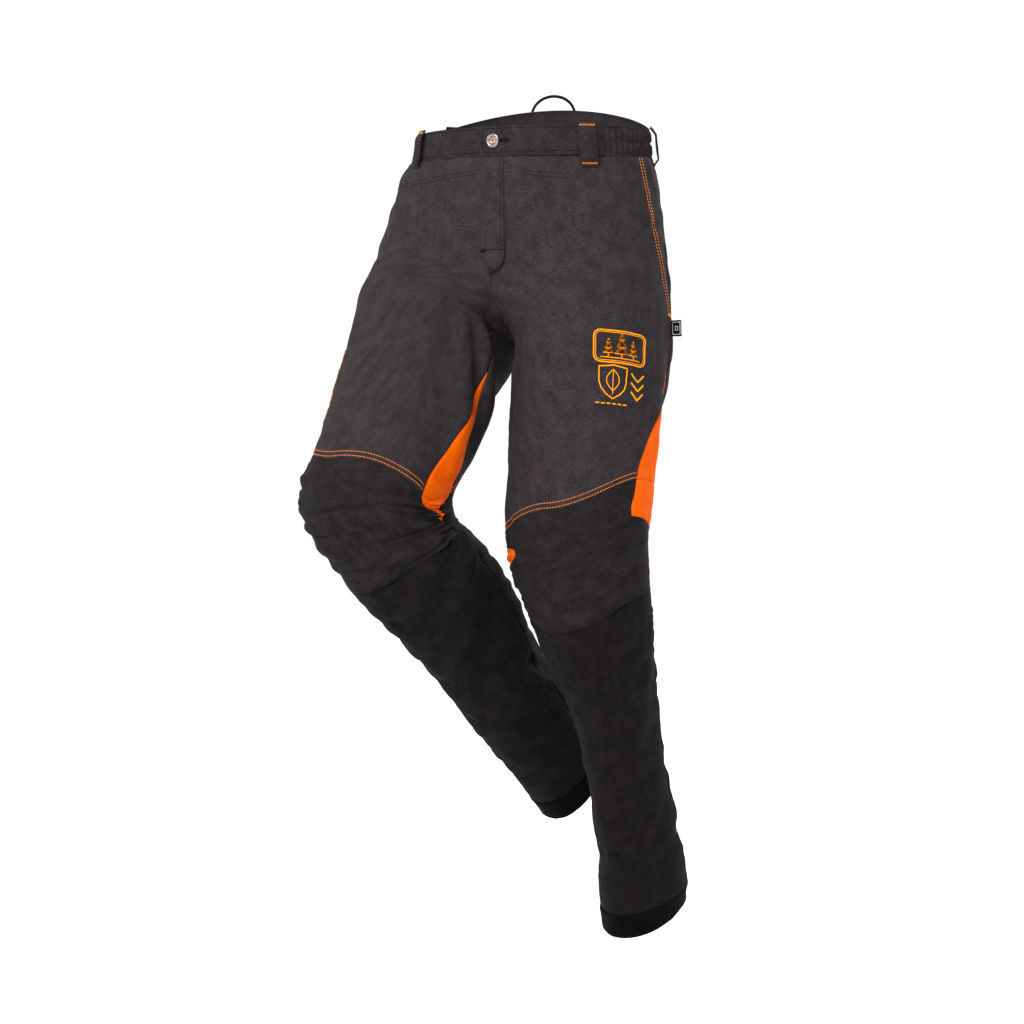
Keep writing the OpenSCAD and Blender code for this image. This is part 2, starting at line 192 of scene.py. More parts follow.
# The grid of one side: columns are angles round the leg, rows run from waistband to hem.
COLS = 96
STEP = 360 / COLS
CROTCH_A = 112.5
PELVIS, HIPS, THIGH, BEND, SHIN = 14, 18, 24, 34, 44
ROW_LEG = PELVIS
ROW_THIGH = ROW_LEG + HIPS
ROW_KNEE = ROW_THIGH + THIGH
ROW_SHIN = ROW_KNEE + BEND
ROW_HEM = ROW_SHIN + SHIN
ANGLES = np.arange(COLS) * STEP
TURNED = np.where(ANGLES > 180, ANGLES - 360, ANGLES)
ON_WAIST = np.abs(TURNED) <= CROTCH_A + 1e-6


def to_waist(side, turned):
    """Waist angle of a leg column."""
    a = np.sign(turned) * 90 * (np.abs(turned) / CROTCH_A) ** 1.25
    return a if side == "left" else 180 - a


def crotch_at(q):
    """The line between the legs, from the fly's lower end (0) to the seat (1)."""
    front, back = waist_at(90.0, FLY_BOTTOM), waist_at(270.0, -0.158)
    y = mix(front[1], back[1], (1 - cosd(180 * q)) / 2)
    z = mix(front[2], back[2], q) - 0.105 * sind(180 * q)
    return np.stack([-0.003 * sind(180 * q), y, z], -1)


def worn_grid(side):
    """The smooth worn surface of one side."""
    leg = LEGS[side]
    grid = np.full((ROW_HEM + 1, COLS, 3), np.nan)
    w = to_waist(side, TURNED[ON_WAIST])
    low = -0.135 - 0.055 * np.maximum(0, sind(w)) ** 10 - 0.02 * np.maximum(0, -sind(w))
    for i in range(PELVIS + 1):
        grid[i, ON_WAIST] = waist_at(w, mix(rise(w) - BAND_H, low, i / PELVIS))
    q = (ANGLES[~ON_WAIST] - CROTCH_A) / (360 - 2 * CROTCH_A)
    grid[PELVIS, ~ON_WAIST] = crotch_at(q)
    start = around(THIGH_START, ANGLES)
    p, end = grid[PELVIS], leg.thigh(ANGLES, start)
    inner = np.maximum(0, -cosd(ANGLES)) ** 2
    down = unit(np.stack([leg.sign * inner, 0 * inner, -np.ones(COLS)], -1))
    reach = 0.7 * np.linalg.norm(end - p, axis=-1)[:, None]
    for i in range(1, HIPS + 1):
        grid[ROW_LEG + i] = hermite(p, down * reach, end, leg.thigh_dir * reach, i / HIPS)
    for i in range(1, THIGH + 1):
        grid[ROW_THIGH + i] = leg.thigh(ANGLES, mix(start, leg.knee_seam(ANGLES), i / THIGH))
    p, end = grid[ROW_KNEE].copy(), leg.shin(ANGLES, leg.shin_seam(ANGLES))
    reach = 1.15 * np.linalg.norm(end - p, axis=-1)[:, None]
    for i in range(1, BEND + 1):
        grid[ROW_KNEE + i] = hermite(p, leg.thigh_dir * reach, end, leg.shin_dir * reach, i / BEND)
    for i in range(1, SHIN + 1):
        s = mix(leg.shin_seam(ANGLES), leg.shin_l - HEM_H, i / SHIN)
        grid[ROW_SHIN + i] = leg.shin(ANGLES, s)
    return grid


# How far a leg fills out or hollows at each height: about leg angle, direction, then (height, amount)
FULLNESS = {
    "right": [(30, -1, ((-0.04, 0.006), (-0.06, 0.014), (-0.11, 0.022), (-0.16, 0.031), (-0.19, 0.026),
                        (-0.24, 0.011), (-0.36, 0.008), (-0.43, 0.013), (-0.48, 0.020), (-0.52, 0.018),
                        (-0.57, 0.0), (-0.61, -0.012), (-0.70, -0.010), (-0.80, -0.004), (-0.90, 0.0))),
              (210, 1, ((-0.38, 0.0), (-0.45, -0.016), (-0.48, -0.016), (-0.51, -0.006), (-0.54, 0.014),
                        (-0.58, 0.024), (-0.63, 0.018), (-0.70, 0.006), (-0.80, 0.0)))],
    "left": [(-30, 1, ((-0.12, 0.002), (-0.20, 0.010), (-0.30, 0.011), (-0.34, 0.007), (-0.38, 0.0),
                       (-0.43, -0.004), (-0.50, -0.002), (-0.53, -0.009), (-0.56, -0.001), (-0.70, 0.0),
                       (-0.85, 0.002), (-0.95, 0.009), (-1.06, 0.010))),
             (150, -1, ((-0.55, 0.0), (-0.63, -0.012), (-0.68, -0.016), (-0.735, -0.024), (-0.82, -0.025),
                        (-0.91, -0.015), (-0.95, -0.013), (-1.02, -0.003)))]}
ASIDE = np.array([math.cos(math.radians(30)), math.sin(math.radians(30)), 0])


def filled_out(side, grid):
    out = grid.copy()
    for angle, sign, steps in FULLNESS[side]:
        facing = np.maximum(0, cosd(ANGLES - angle)) ** 1.6
        z = np.nan_to_num(grid[..., 2])
        heights, amounts = np.array(sorted(steps)).T
        amount = np.interp(z, heights, amounts) * ease((-0.036 - z) / 0.03)
        out += (sign * facing[None] * amount)[..., None] * ASIDE
    return out


def welded(grids):
    """One mesh of both sides: points, quads, and each side's point number at every row and column."""
    number, points = {}, []
    for side in SIDES:
        index = np.full((ROW_HEM + 1, COLS), -1)
        for i in range(ROW_HEM + 1):
            for j in range(COLS):
                if np.isnan(grids[side][i, j, 0]):
                    continue
                shared = (i < ROW_LEG and abs(abs(TURNED[j]) - CROTCH_A) < 1e-6) or (
                    i == ROW_LEG and abs(TURNED[j]) > CROTCH_A - 1e-6)
                if shared and side == "left":
                    index[i, j] = number["right"][i, j]
                else:
                    index[i, j] = len(points)
                    points.append(grids[side][i, j])
        number[side] = index
    quads = []
    for side in SIDES:
        index = number[side]
        for i in range(ROW_HEM):
            for j in range(COLS):
                k = (j + 1) % COLS
                quad = [index[i, j], index[i, k], index[i + 1, k], index[i + 1, j]]
                if min(quad) >= 0:
                    quads.append(quad if side == "left" else quad[::-1])
    return np.array(points), quads, number


def relax(points, quads, weight, rounds):
    """Moves each point towards the mean of its neighbours, by its weight."""
    edges = np.array([(q[k], q[(k + 1) % 4]) for q in quads for k in range(4)])
    edges = np.unique(np.sort(edges, 1), axis=0)
    count = np.bincount(edges.ravel(), minlength=len(points))[:, None]
    for _ in range(rounds):
        total = np.zeros_like(points)
        np.add.at(total, edges[:, 0], points[edges[:, 1]])
        np.add.at(total, edges[:, 1], points[edges[:, 0]])
        points = mix(points, total / count, weight[:, None])
    return points


def spread_rows(number, values, count):
    """Per-point values from one value for each row."""
    out = np.zeros(count)
    for side in SIDES:
        for i, row in enumerate(number[side]):
            out[row[row >= 0]] = values[i]
    return out


def folds_round(moved, number):
    """The part of each point's movement that makes folds round the legs, not lengthwise ones or sag."""
    total, seen = np.zeros_like(moved), np.zeros((len(moved), 1))
    window = np.hanning(19)[1:-1]

    def mean(v):
        return np.apply_along_axis(np.convolve, 0, v, window, "same")

    for side in SIDES:
        index = number[side]
        used = index >= 0
        grid = np.where(used[..., None], moved[index], 0)
        fold = grid - 0.93 * mean(grid) / np.maximum(mean(used[..., None].astype(float)), 1e-9)
        np.add.at(total, index[used], fold[used])
        np.add.at(seen, index[used], 1)
    return total / seen


def cut_shape(side, grid):
    """The leg before it is worn: rings stacked straight down, long where it will crumple."""
    rows = np.arange(ROW_HEM + 1)
    filled = grid.copy()
    filled[:ROW_LEG, ~ON_WAIST] = grid[ROW_LEG, ~ON_WAIST]
    length = np.linalg.norm(np.diff(filled, axis=0), axis=-1)
    bend = np.exp(-(((rows[:-1] - (ROW_KNEE + 0.62 * BEND)) / (0.62 * BEND)) ** 2))
    below = np.exp(-(((rows[:-1] - (ROW_SHIN + 0.2 * SHIN)) / (0.4 * SHIN)) ** 2))
    extra = 1.012 + 0.055 * bend + 0.03 * below
    behind = 1 + 0.16 * bend[:, None] * np.maximum(0, -sind(ANGLES)) ** 2
    drop = np.vstack([np.zeros(COLS), np.cumsum(length * extra[:, None] * behind, 0)])
    ring = np.linalg.norm(np.diff(np.concatenate([filled, filled[:, :1]], 1), axis=1), axis=-1)
    total = ring.sum(1)
    turn = np.cumsum(ring, 1) / total[:, None] * 2 * np.pi
    turn = np.concatenate([np.zeros((len(rows), 1)), turn[:, :-1]], 1)
    radius = total[:, None] / (2 * np.pi) * 1.01
    sign = SIDES[side]
    return np.stack([sign * (0.4 + radius * np.cos(turn)), -radius * np.sin(turn), -drop], -1)


def drape(points, quads, cut, held, frames):
    """Blender's cloth, started in the worn shape and wanting the cut shape's lengths."""
    mesh = bpy.data.meshes.new("drape")
    mesh.from_pydata(points.tolist(), [], quads)
    obj = bpy.data.objects.new("drape", mesh)
    bpy.context.scene.collection.objects.link(obj)
    obj.shape_key_add(name="worn")
    key = obj.shape_key_add(name="cut")
    key.data.foreach_set("co", cut.ravel())
    group = obj.vertex_groups.new(name="held")
    for i, w in enumerate(held):
        group.add([i], float(w), "REPLACE")
    cloth = obj.modifiers.new("cloth", "CLOTH")
    for name, value in (("quality", 5), ("mass", 0.25), ("tension_stiffness", 12),
                        ("compression_stiffness", 12), ("shear_stiffness", 4), ("bending_stiffness", 6),
                        ("air_damping", 3), ("vertex_group_mass", "held"), ("pin_stiffness", 1.0),
                        ("rest_shape_key", key)):
        setattr(cloth.settings, name, value)
    cloth.settings.effector_weights.gravity = 0.25
    cloth.collision_settings.use_collision = False
    scene = bpy.context.scene
    for f in range(1, frames + 1):
        scene.frame_set(f)
    done = obj.evaluated_get(bpy.context.evaluated_depsgraph_get()).to_mesh()
    out = np.zeros(len(points) * 3, np.float32)
    done.vertices.foreach_get("co", out)
    scene.frame_set(1)
    bpy.data.objects.remove(obj)
    return out.reshape(-1, 3).astype(float)


def make_cloth():
    """The whole draped garment as one smooth grid for each side."""
    grids = {s: filled_out(s, worn_grid(s)) for s in SIDES}
    points, quads, number = welded(grids)
    rows = np.arange(ROW_HEM + 1)
    soft = ease((rows - 3) / 8) * ease((ROW_THIGH + 8 - rows) / 10)
    points = relax(points, quads, 0.5 * spread_rows(number, soft, len(points)), 14)
    for side in SIDES:
        grids[side][number[side] >= 0] = points[number[side][number[side] >= 0]]
    cut = np.zeros_like(points)
    for side in SIDES:
        shape = cut_shape(side, grids[side])
        cut[number[side][number[side] >= 0]] = shape[number[side] >= 0]
    hold = np.interp(rows, (0, 1, 6, ROW_KNEE, ROW_SHIN, ROW_HEM - 3, ROW_HEM - 2),
                     (1, 0.5, 0.10, 0.06, 0.05, 0.10, 1))
    worn = points
    points = drape(worn, quads, cut, spread_rows(number, hold, len(points)), 26)
    fold = folds_round(points - worn, number)
    size = np.linalg.norm(fold, axis=1, keepdims=True) / FOLD_MAX
    above_hem = 0.12 + 0.88 * ease((ROW_HEM - 2 - rows) / 22)
    above_hem = spread_rows(number, above_hem, len(points))[:, None]
    points = worn + 1.3 * fold * np.tanh(size) / np.maximum(size, 1e-9) * above_hem
    # Behind the bent knee the crumpled cloth is eased out, so that it doesn't pass through itself
    crumpled = np.zeros(len(points))
    behind = np.clip(-1.6 * sind(ANGLES - 12), 0, 1)[None] * (
        ease((rows - ROW_KNEE + 5) / 6) * ease((ROW_SHIN + 4 - rows) / 10))[:, None]
    for side, share in (("right", 0.8), ("left", 0.4)):
        used = number[side] >= 0
        crumpled[number[side][used]] = share * behind[used]
    points = relax(points, quads, crumpled, 16)
    for side in SIDES:
        grids[side][number[side] >= 0] = points[number[side][number[side] >= 0]]
    return grids


# ---------------------------------------------------------------- reading the cloth
def fill_centre(grids):
    """Carries each side's pelvis columns past the centre seam, so that both sides join smoothly."""
    full = {s: g.copy() for s, g in grids.items()}
    for side, other in (("right", "left"), ("left", "right")):
        for j in range(COLS):
            if ON_WAIST[j]:
                continue
            for turn in (CROTCH_A, 360 - CROTCH_A):
                k = round((2 * turn - ANGLES[j]) / STEP) % COLS
                if abs(ANGLES[j] - turn) < 30:
                    full[side][:PELVIS, j] = grids[other][:PELVIS, k]
        pelvis = full[side][:PELVIS]
        stuck = np.isnan(pelvis[..., 0])
        pelvis[stuck] = np.broadcast_to(full[side][PELVIS], pelvis.shape)[stuck]
    return full


def cubic(t):
    """Weights of four neighbours for a smooth line through the middle two."""
    return np.stack([-0.5 * t + t**2 - 0.5 * t**3, 1 - 2.5 * t**2 + 1.5 * t**3,
                     0.5 * t + 2 * t**2 - 1.5 * t**3, -0.5 * t**2 + 0.5 * t**3], -1)


def cloth_at(side, a, r):
    """Point of the draped cloth at leg angle a and row r."""
    a, r = np.broadcast_arrays(np.asarray(a, float) / STEP, np.clip(r, 0, ROW_HEM))
    j, i = np.floor(a).astype(int), np.minimum(np.floor(r).astype(int), ROW_HEM - 1)
    wa, wr = cubic(a - j), cubic(r - i)
    out = np.zeros(a.shape + (3,))
    for m in range(4):
        for n in range(4):
            row = np.clip(i + m - 1, 0, ROW_HEM)
            out += (wr[..., m] * wa[..., n])[..., None] * CLOTH[side][row, (j + n - 1) % COLS]
    return out


def normal_at(side, a, r):
    da = cloth_at(side, a + 1.5, r) - cloth_at(side, a - 1.5, r)
    dr = cloth_at(side, a, np.asarray(r) + 0.4) - cloth_at(side, a, np.asarray(r) - 0.4)
    return unit(np.cross(da, dr) * SIDES[side])


def thigh_row(side, a, s):
    """Row at a distance s down the thigh from the hip centre."""
    start, seam = around(THIGH_START, a), LEGS[side].knee_seam(a)
    return ROW_THIGH + THIGH * (s - start) / (seam - start)


def down_by(side, a, r, metres):
    """Row that lies some metres below row r."""
    step = np.linalg.norm(cloth_at(side, a, r + 0.5) - cloth_at(side, a, r - 0.5), axis=-1)
    return r + metres / np.maximum(step, 1e-4)


def hash01(i, j, seed):
    x = np.sin(i * 127.1 + j * 311.7 + seed * 74.7) * 43758.5453
    return x - np.floor(x)


def noise2(x, y, seed=0):
    i, j = np.floor(x), np.floor(y)
    fx, fy = ease(x - i), ease(y - j)
    top = mix(hash01(i, j, seed), hash01(i + 1, j, seed), fx)
    low = mix(hash01(i, j + 1, seed), hash01(i + 1, j + 1, seed), fx)
    return mix(top, low, fy) * 2 - 1


def ridges(x, y, seed):
    """Rounded creases: narrow valleys between soft rolls."""
    n = noise2(x, y, seed) + 0.45 * noise2(2.1 * x + 7, 2.3 * y + 3, seed + 5)
    return 2 * np.abs(n) - 0.6


def relief(side, a, r):
    """Fine creases and the padding's soft lumps, in metres outwards."""
    seed = 3 if side == "right" else 11
    turned = np.where(a > 180, a - 360, a)
    x, s = turned / 38 + 30, (r - ROW_KNEE) * 0.0078
    knee = ease((r - ROW_KNEE + 1) / 8) * ease((ROW_SHIN + 10 - r) / 22)
    shin = ease((r - ROW_SHIN + 8) / 12) * ease((ROW_HEM - 1 - r) / 5)
    thigh = ease((r - 2) / 6) * ease((ROW_KNEE - r) / 3)
    bent = (1.0 if side == "right" else 0.62) * (1 - 0.8 * np.clip(-1.5 * sind(turned - 12), 0, 1))
    slant = 0.10 * np.sin(np.radians(turned) * 1.3 + seed)
    out = knee * bent * 0.0033 * ridges(x, (s + 0.022 * slant) / 0.019, seed)
    out += knee * bent * 0.0011 * noise2(1.7 * x, s / 0.009, seed + 1)
    out += shin * 0.0019 * ridges(0.9 * x, (s - 0.05 * slant) / 0.024, seed + 2)
    out += shin * 0.0007 * noise2(2 * x, s / 0.010, seed + 3)
    out += thigh * 0.0012 * ridges(0.8 * x, (s + 0.06 * slant) / 0.045, seed + 4)
    out += thigh * 0.0007 * noise2(1.3 * x, s / 0.020, seed + 6)
    return out


def skin(side, a, r, out=0.0, fine=True):
    """Point a distance out from the cloth's outer face."""
    lift = out + (relief(side, a, r) if fine else 0)
    return cloth_at(side, a, r) + normal_at(side, a, r) * np.asarray(lift)[..., None]


# ---------------------------------------------------------------- panels
SHADES = {}


def volume(points, faces):
    """Signed volume of closed pieces, from fans of triangles."""
    first = np.array([f[0] for f in faces for _ in range(len(f) - 2)])
    second = np.array([f[k] for f in faces for k in range(1, len(f) - 1)])
    third = np.array([f[k] for f in faces for k in range(2, len(f))])
    return float((np.cross(points[first], points[second]) * points[third]).sum())


def new_object(name, points, faces, shade, slot, uv=None):
    points = np.asarray(points, float)
    if volume(points - points.mean(0), faces) < 0:
        faces = [f[::-1] for f in faces]
    mesh = bpy.data.meshes.new(name)
    mesh.from_pydata(points.tolist(), [], faces)
    mesh.polygons.foreach_set("use_smooth", [True] * len(mesh.polygons))
    if uv is not None:
        layer = mesh.uv_layers.new(name="cloth")
        loops = np.zeros(len(mesh.loops), int)
        mesh.loops.foreach_get("vertex_index", loops)
        layer.data.foreach_set("uv", np.asarray(uv, float)[loops].ravel())
    mesh.materials.append(SHADES[shade])
    obj = bpy.data.objects.new(name, mesh)
    bpy.context.scene.collection.objects.link(obj)
    return obj


def near_border(points, kept, reach=0.0026):
    """1 at the border of the kept quads, falling to 0 a little way in."""
    rows, cols = points.shape[:2]
    cell = np.zeros((rows + 1, cols + 1), bool)
    cell[1:-1, 1:-1] = kept
    around_all = cell[:-1, :-1] & cell[:-1, 1:] & cell[1:, :-1] & cell[1:, 1:]
    used = cell[:-1, :-1] | cell[:-1, 1:] | cell[1:, :-1] | cell[1:, 1:]
    border = points[used & ~around_all]
    tree = KDTree(len(border))
    for i, p in enumerate(border):
        tree.insert(p, i)
    tree.balance()
    far = np.array([tree.find(p)[2] for p in points.reshape(-1, 3)]).reshape(rows, cols)
    return 1 - ease(far / reach)


def slab(outer, inner, kept, flip):
    """Closed cloth from two grids of points: its points, faces and metric UVs."""
    rows, cols = outer.shape[:2]
    n = rows * cols
    u = np.cumsum(np.pad(np.linalg.norm(np.diff(outer, axis=1), axis=-1), ((0, 0), (1, 0))), 1)
    v = np.cumsum(np.pad(np.linalg.norm(np.diff(outer, axis=0), axis=-1), ((1, 0), (0, 0))), 0)
    uv = np.stack([u - u[:, cols // 2:cols // 2 + 1], -v], -1).reshape(-1, 2)
    grid = np.arange(n).reshape(rows, cols)
    quads = np.stack([grid[:-1, :-1], grid[1:, :-1], grid[1:, 1:], grid[:-1, 1:]], -1)[kept]
    edges = {(q[k], q[(k + 1) % 4]) for q in quads.tolist() for k in range(4)}
    rim = [[b, a, a + n, b + n] for a, b in edges if (b, a) not in edges]
    faces = quads.tolist() + (quads[:, ::-1] + n).tolist() + sorted(rim)
    if flip:
        faces = [f[::-1] for f in faces]
    used = np.unique(quads)
    used = np.concatenate([used, used + n])
    number = np.full(2 * n, -1)
    number[used] = np.arange(len(used))
    faces = [[int(number[i]) for i in f] for f in faces]
    points = np.concatenate([outer.reshape(-1, 3), inner.reshape(-1, 3)])[used]
    return points, faces, np.concatenate([uv, uv])[used]


def fractions(counts, knots):
    """Positions along the knots, with two more beside every knot. Gives segment and fraction."""
    out = []
    for k, (count, length) in enumerate(zip(counts, knots)):
        near = min(0.0024 / max(length, 1e-6), 0.45 / count)
        t = sorted(set(np.linspace(0, 1, count + 1).tolist() + [near, 1 - near]))
        out += [(k, x) for x in (t if k == 0 else t[1:])]
    return np.array([k for k, _ in out]), np.array([x for _, x in out])


def measured(outer, kept):
    """Largest width and length of the kept quads, and their area."""
    across = np.linalg.norm(np.diff(outer, axis=1), axis=-1)
    down = np.linalg.norm(np.diff(outer, axis=0), axis=-1)
    wide = (0.5 * (across[:-1] + across[1:]) * kept).sum(1).max()
    long = (0.5 * (down[:, :-1] + down[:, 1:]) * kept).sum(0).max()
    corners = outer[1:, 1:] - outer[:-1, :-1], outer[1:, :-1] - outer[:-1, 1:]
    area = np.linalg.norm(np.cross(*corners), axis=-1)
    return float(wide), float(long), float((area * kept).sum() / 2)


def cloth_piece(name, outer, inner, kept, flip, shade, slot):
    """An object from two grids of points, with its measured size on it."""
    points, faces, uv = slab(outer, inner, kept, flip)
    obj = new_object(name, points, faces, shade, slot, uv)
    obj["flat_w"], obj["flat_l"], obj["area"] = measured(outer, kept)
    return obj


def panel(name, side, cols, counts, rows, row_counts, shade, slot, skip=(), out=0.0,
          thick=CLOTH_T, fine=True, depth=0.0012):
    """A cloth panel: cols are leg angles as functions of row, rows are rows as functions of angle.

    skip lists the (column stretch, row stretch) pairs that are left out."""
    mid_r = np.array([float(f(90.0)) for f in rows]).mean()
    a_knots = np.array([float(f(mid_r)) for f in cols])
    lengths = np.abs(np.diff(a_knots)) * 0.0017
    ck, ct = fractions(counts, lengths)
    rk, rt = fractions(row_counts, [abs(float(rows[k + 1](90.0)) - float(rows[k](90.0))) * 0.008
                                    for k in range(len(rows) - 1)])
    a = np.broadcast_to(mix(a_knots[ck], a_knots[ck + 1], ct)[None], (len(rt), len(ct)))
    for _ in range(4):
        edge = np.stack([f(a) + 0.0 * a for f in rows])
        lo = np.stack([edge[rk[i], i] for i in range(len(rt))])
        hi = np.stack([edge[rk[i] + 1, i] for i in range(len(rt))])
        r = mix(lo, hi, rt[:, None])
        edge = np.stack([f(r) + 0.0 * r for f in cols])
        lo = np.stack([edge[ck[j], :, j] for j in range(len(ct))], 1)
        hi = np.stack([edge[ck[j] + 1, :, j] for j in range(len(ct))], 1)
        a = mix(lo, hi, ct[None])
    kept = np.ones((len(rt) - 1, len(ct) - 1), bool)
    seg_c, seg_r = ck[1:], rk[1:]
    for c, w in skip:
        kept[np.ix_(seg_r == w, seg_c == c)] = False
    base, normal = cloth_at(side, a, r), normal_at(side, a, r)
    sink = depth * near_border(base, kept)
    lift = out - sink + (relief(side, a, r) if fine else 0)
    outer = base + normal * lift[..., None]
    inner = base + normal * (lift - thick + 0.5 * sink)[..., None]
    return cloth_piece(name, outer, inner, kept, side == "left", shade, slot)


def tube(path, radius, normals, flat=1.0, sides=6, close=False):
    """A thread or cord along a path, flattened against the cloth."""
    path = np.asarray(path)
    ahead = np.roll(path, -1, 0) - np.roll(path, 1, 0)
    if not close:
        ahead[0], ahead[-1] = path[1] - path[0], path[-1] - path[-2]
    ahead = unit(ahead)
    across = unit(np.cross(ahead, normals))
    up = np.cross(across, ahead)
    t = np.arange(sides) * 2 * np.pi / sides
    radius = np.broadcast_to(radius, len(path))[:, None, None]
    ring = (path[:, None] + radius * (np.cos(t)[None, :, None] * across[:, None]
                                      + flat * np.sin(t)[None, :, None] * up[:, None]))
    n, faces = len(path), []
    for i in range(n if close else n - 1):
        for k in range(sides):
            m, j = (k + 1) % sides, (i + 1) % n
            faces.append([i * sides + k, i * sides + m, j * sides + m, j * sides + k])
    points = ring.reshape(-1, 3)
    if not close:
        faces += [list(range(sides))[::-1], [(n - 1) * sides + k for k in range(sides)]]
    return points, faces


def join(parts):
    """The points and faces of several parts as one."""
    points, faces, at = [], [], 0
    for p, f in parts:
        points.append(p)
        faces += [[i + at for i in face] for face in f]
        at += len(p)
    return np.concatenate(points), faces


def along(path, normals, step):
    """The path resampled at an even step."""
    d = np.concatenate([[0], np.cumsum(np.linalg.norm(np.diff(path, axis=0), axis=-1))])
    t = np.arange(0, d[-1], step)

    def pick(v):
        return np.stack([np.interp(t, d, v[:, k]) for k in range(3)], -1)

    return pick(path), unit(pick(normals))


def stitch_row(side, a, r, out=0.0002):
    """Sewing stitches along leg angles a and rows r."""
    return stitches_on(skin(side, a, r, out), normal_at(side, a, r))


def stitches_on(path, normal, length=0.0032, space=0.0009, radius=0.00042):
    """Sewing stitches along a path on the cloth."""
    step = (length + space) / 4
    path, normal = along(path, normal, step)
    parts = []
    for i in range(0, len(path) - 4, 4):
        p, n = path[i:i + 4].copy(), normal[i:i + 4]
        p[0] -= n[0] * radius * 0.9
        p[-1] -= n[-1] * radius * 0.9
        parts.append(tube(p, [radius * 0.7, radius, radius, radius * 0.7], n, 0.75, 5))
    return parts


def bartack(side, a0, a1, r, out=0.0008):
    """A bar of thread along row r of the cloth."""
    a = np.array([a0, (a0 + a1) / 2, a1])
    path = skin(side, a, r + 0 * a, out)
    return bar_on(path[0], path[-1], normal_at(side, a, r + 0 * a)[1])


def bar_on(start, end, normal, width=0.0030, radius=0.0007):
    """A dense bar of zigzag thread between two points."""
    count = max(4, int(np.linalg.norm(end - start) / 0.00085))
    ahead, across = end - start, unit(np.cross(end - start, normal))
    zig = np.where(np.arange(count) % 2 == 0, 1, -1)[:, None] * across * width / 2
    path = start + ahead * np.linspace(0, 1, count)[:, None] + zig + normal * radius
    return [tube(path, radius, np.broadcast_to(normal, path.shape), 0.8, 5)]


# ---------------------------------------------------------------- materials
def new_material(name):
    """A material with its node tree, its shader and short ways to add and link nodes."""
    material = SHADES[name] = bpy.data.materials.new(name)
    material.use_nodes = True
    tree = material.node_tree
    shader = tree.nodes["Principled BSDF"]

    def add(kind, **inputs):
        n = tree.nodes.new(kind)
        for key, value in inputs.items():
            if key in n.inputs:
                n.inputs[key].default_value = value
            else:
                setattr(n, key, value)
        return n

    return shader, add, tree.links.new


def srgb(r, g, b):
    """A linear colour from a colour as a screen shows it."""
    return tuple(((c / 255 + 0.055) / 1.055) ** 2.4 if c > 10 else c / 3294 for c in (r, g, b)) + (1,)


def cloth_material(name, colour, pale, rough=0.82, weave=0.0011, bump=0.35, crumple=0.5):
    """Woven cloth on metric UVs: two crossing thread waves, small creases and soft blotches."""
    shader, add, link = new_material(name)
    uv = add("ShaderNodeUVMap", uv_map="cloth")
    waves = []
    for turn in (0.0, math.pi / 2):
        place = add("ShaderNodeMapping")
        place.inputs["Rotation"].default_value = (0, 0, turn + 0.35)
        link(uv.outputs["UV"], place.inputs["Vector"])
        wave = add("ShaderNodeTexWave", Scale=0.314 / weave, Distortion=0.6, Detail=1.0)
        wave.inputs["Detail Scale"].default_value = 2.0
        link(place.outputs["Vector"], wave.inputs["Vector"])
        waves.append(wave)
    cross = add("ShaderNodeMix", data_type="RGBA", blend_type="MULTIPLY")
    cross.inputs[0].default_value = 1.0
    link(waves[0].outputs["Color"], cross.inputs[6])
    link(waves[1].outputs["Color"], cross.inputs[7])
    soft = add("ShaderNodeTexNoise", Scale=45.0, Detail=5.0, Roughness=0.62)
    link(uv.outputs["UV"], soft.inputs["Vector"])
    slub = add("ShaderNodeMapping")
    slub.inputs["Scale"].default_value = (160, 900, 1)
    link(uv.outputs["UV"], slub.inputs["Vector"])
    lint = add("ShaderNodeTexNoise", Scale=1.0, Detail=3.0, Roughness=0.7)
    link(slub.outputs["Vector"], lint.inputs["Vector"])
    both = add("ShaderNodeMix", data_type="RGBA", blend_type="MIX")
    both.inputs[0].default_value = 0.62
    link(soft.outputs["Fac"], both.inputs[6])
    link(lint.outputs["Fac"], both.inputs[7])
    ramp = add("ShaderNodeValToRGB")
    ramp.color_ramp.elements[0].position = 0.40
    ramp.color_ramp.elements[0].color = colour
    ramp.color_ramp.elements[1].position = 0.62
    ramp.color_ramp.elements[1].color = pale
    link(both.outputs[2], ramp.inputs["Fac"])
    worn = add("ShaderNodeMix", data_type="RGBA", blend_type="MULTIPLY")
    worn.inputs[0].default_value = 0.4
    link(ramp.outputs["Color"], worn.inputs[6])
    link(cross.outputs[2], worn.inputs[7])
    link(worn.outputs[2], shader.inputs["Base Color"])
    creases = add("ShaderNodeTexNoise", Scale=130.0, Detail=4.0, Roughness=0.6)
    link(uv.outputs["UV"], creases.inputs["Vector"])
    creased = add("ShaderNodeBump", Strength=crumple, Distance=0.0014)
    link(creases.outputs["Fac"], creased.inputs["Height"])
    depth = add("ShaderNodeBump", Strength=bump, Distance=weave * 0.35)
    link(creased.outputs["Normal"], depth.inputs["Normal"])
    link(cross.outputs[2], depth.inputs["Height"])
    link(depth.outputs["Normal"], shader.inputs["Normal"])
    shader.inputs["Roughness"].default_value = rough
    shader.inputs["Specular IOR Level"].default_value = 0.03
    shader.inputs["Sheen Weight"].default_value = 0.008
    shader.inputs["Sheen Roughness"].default_value = 0.45


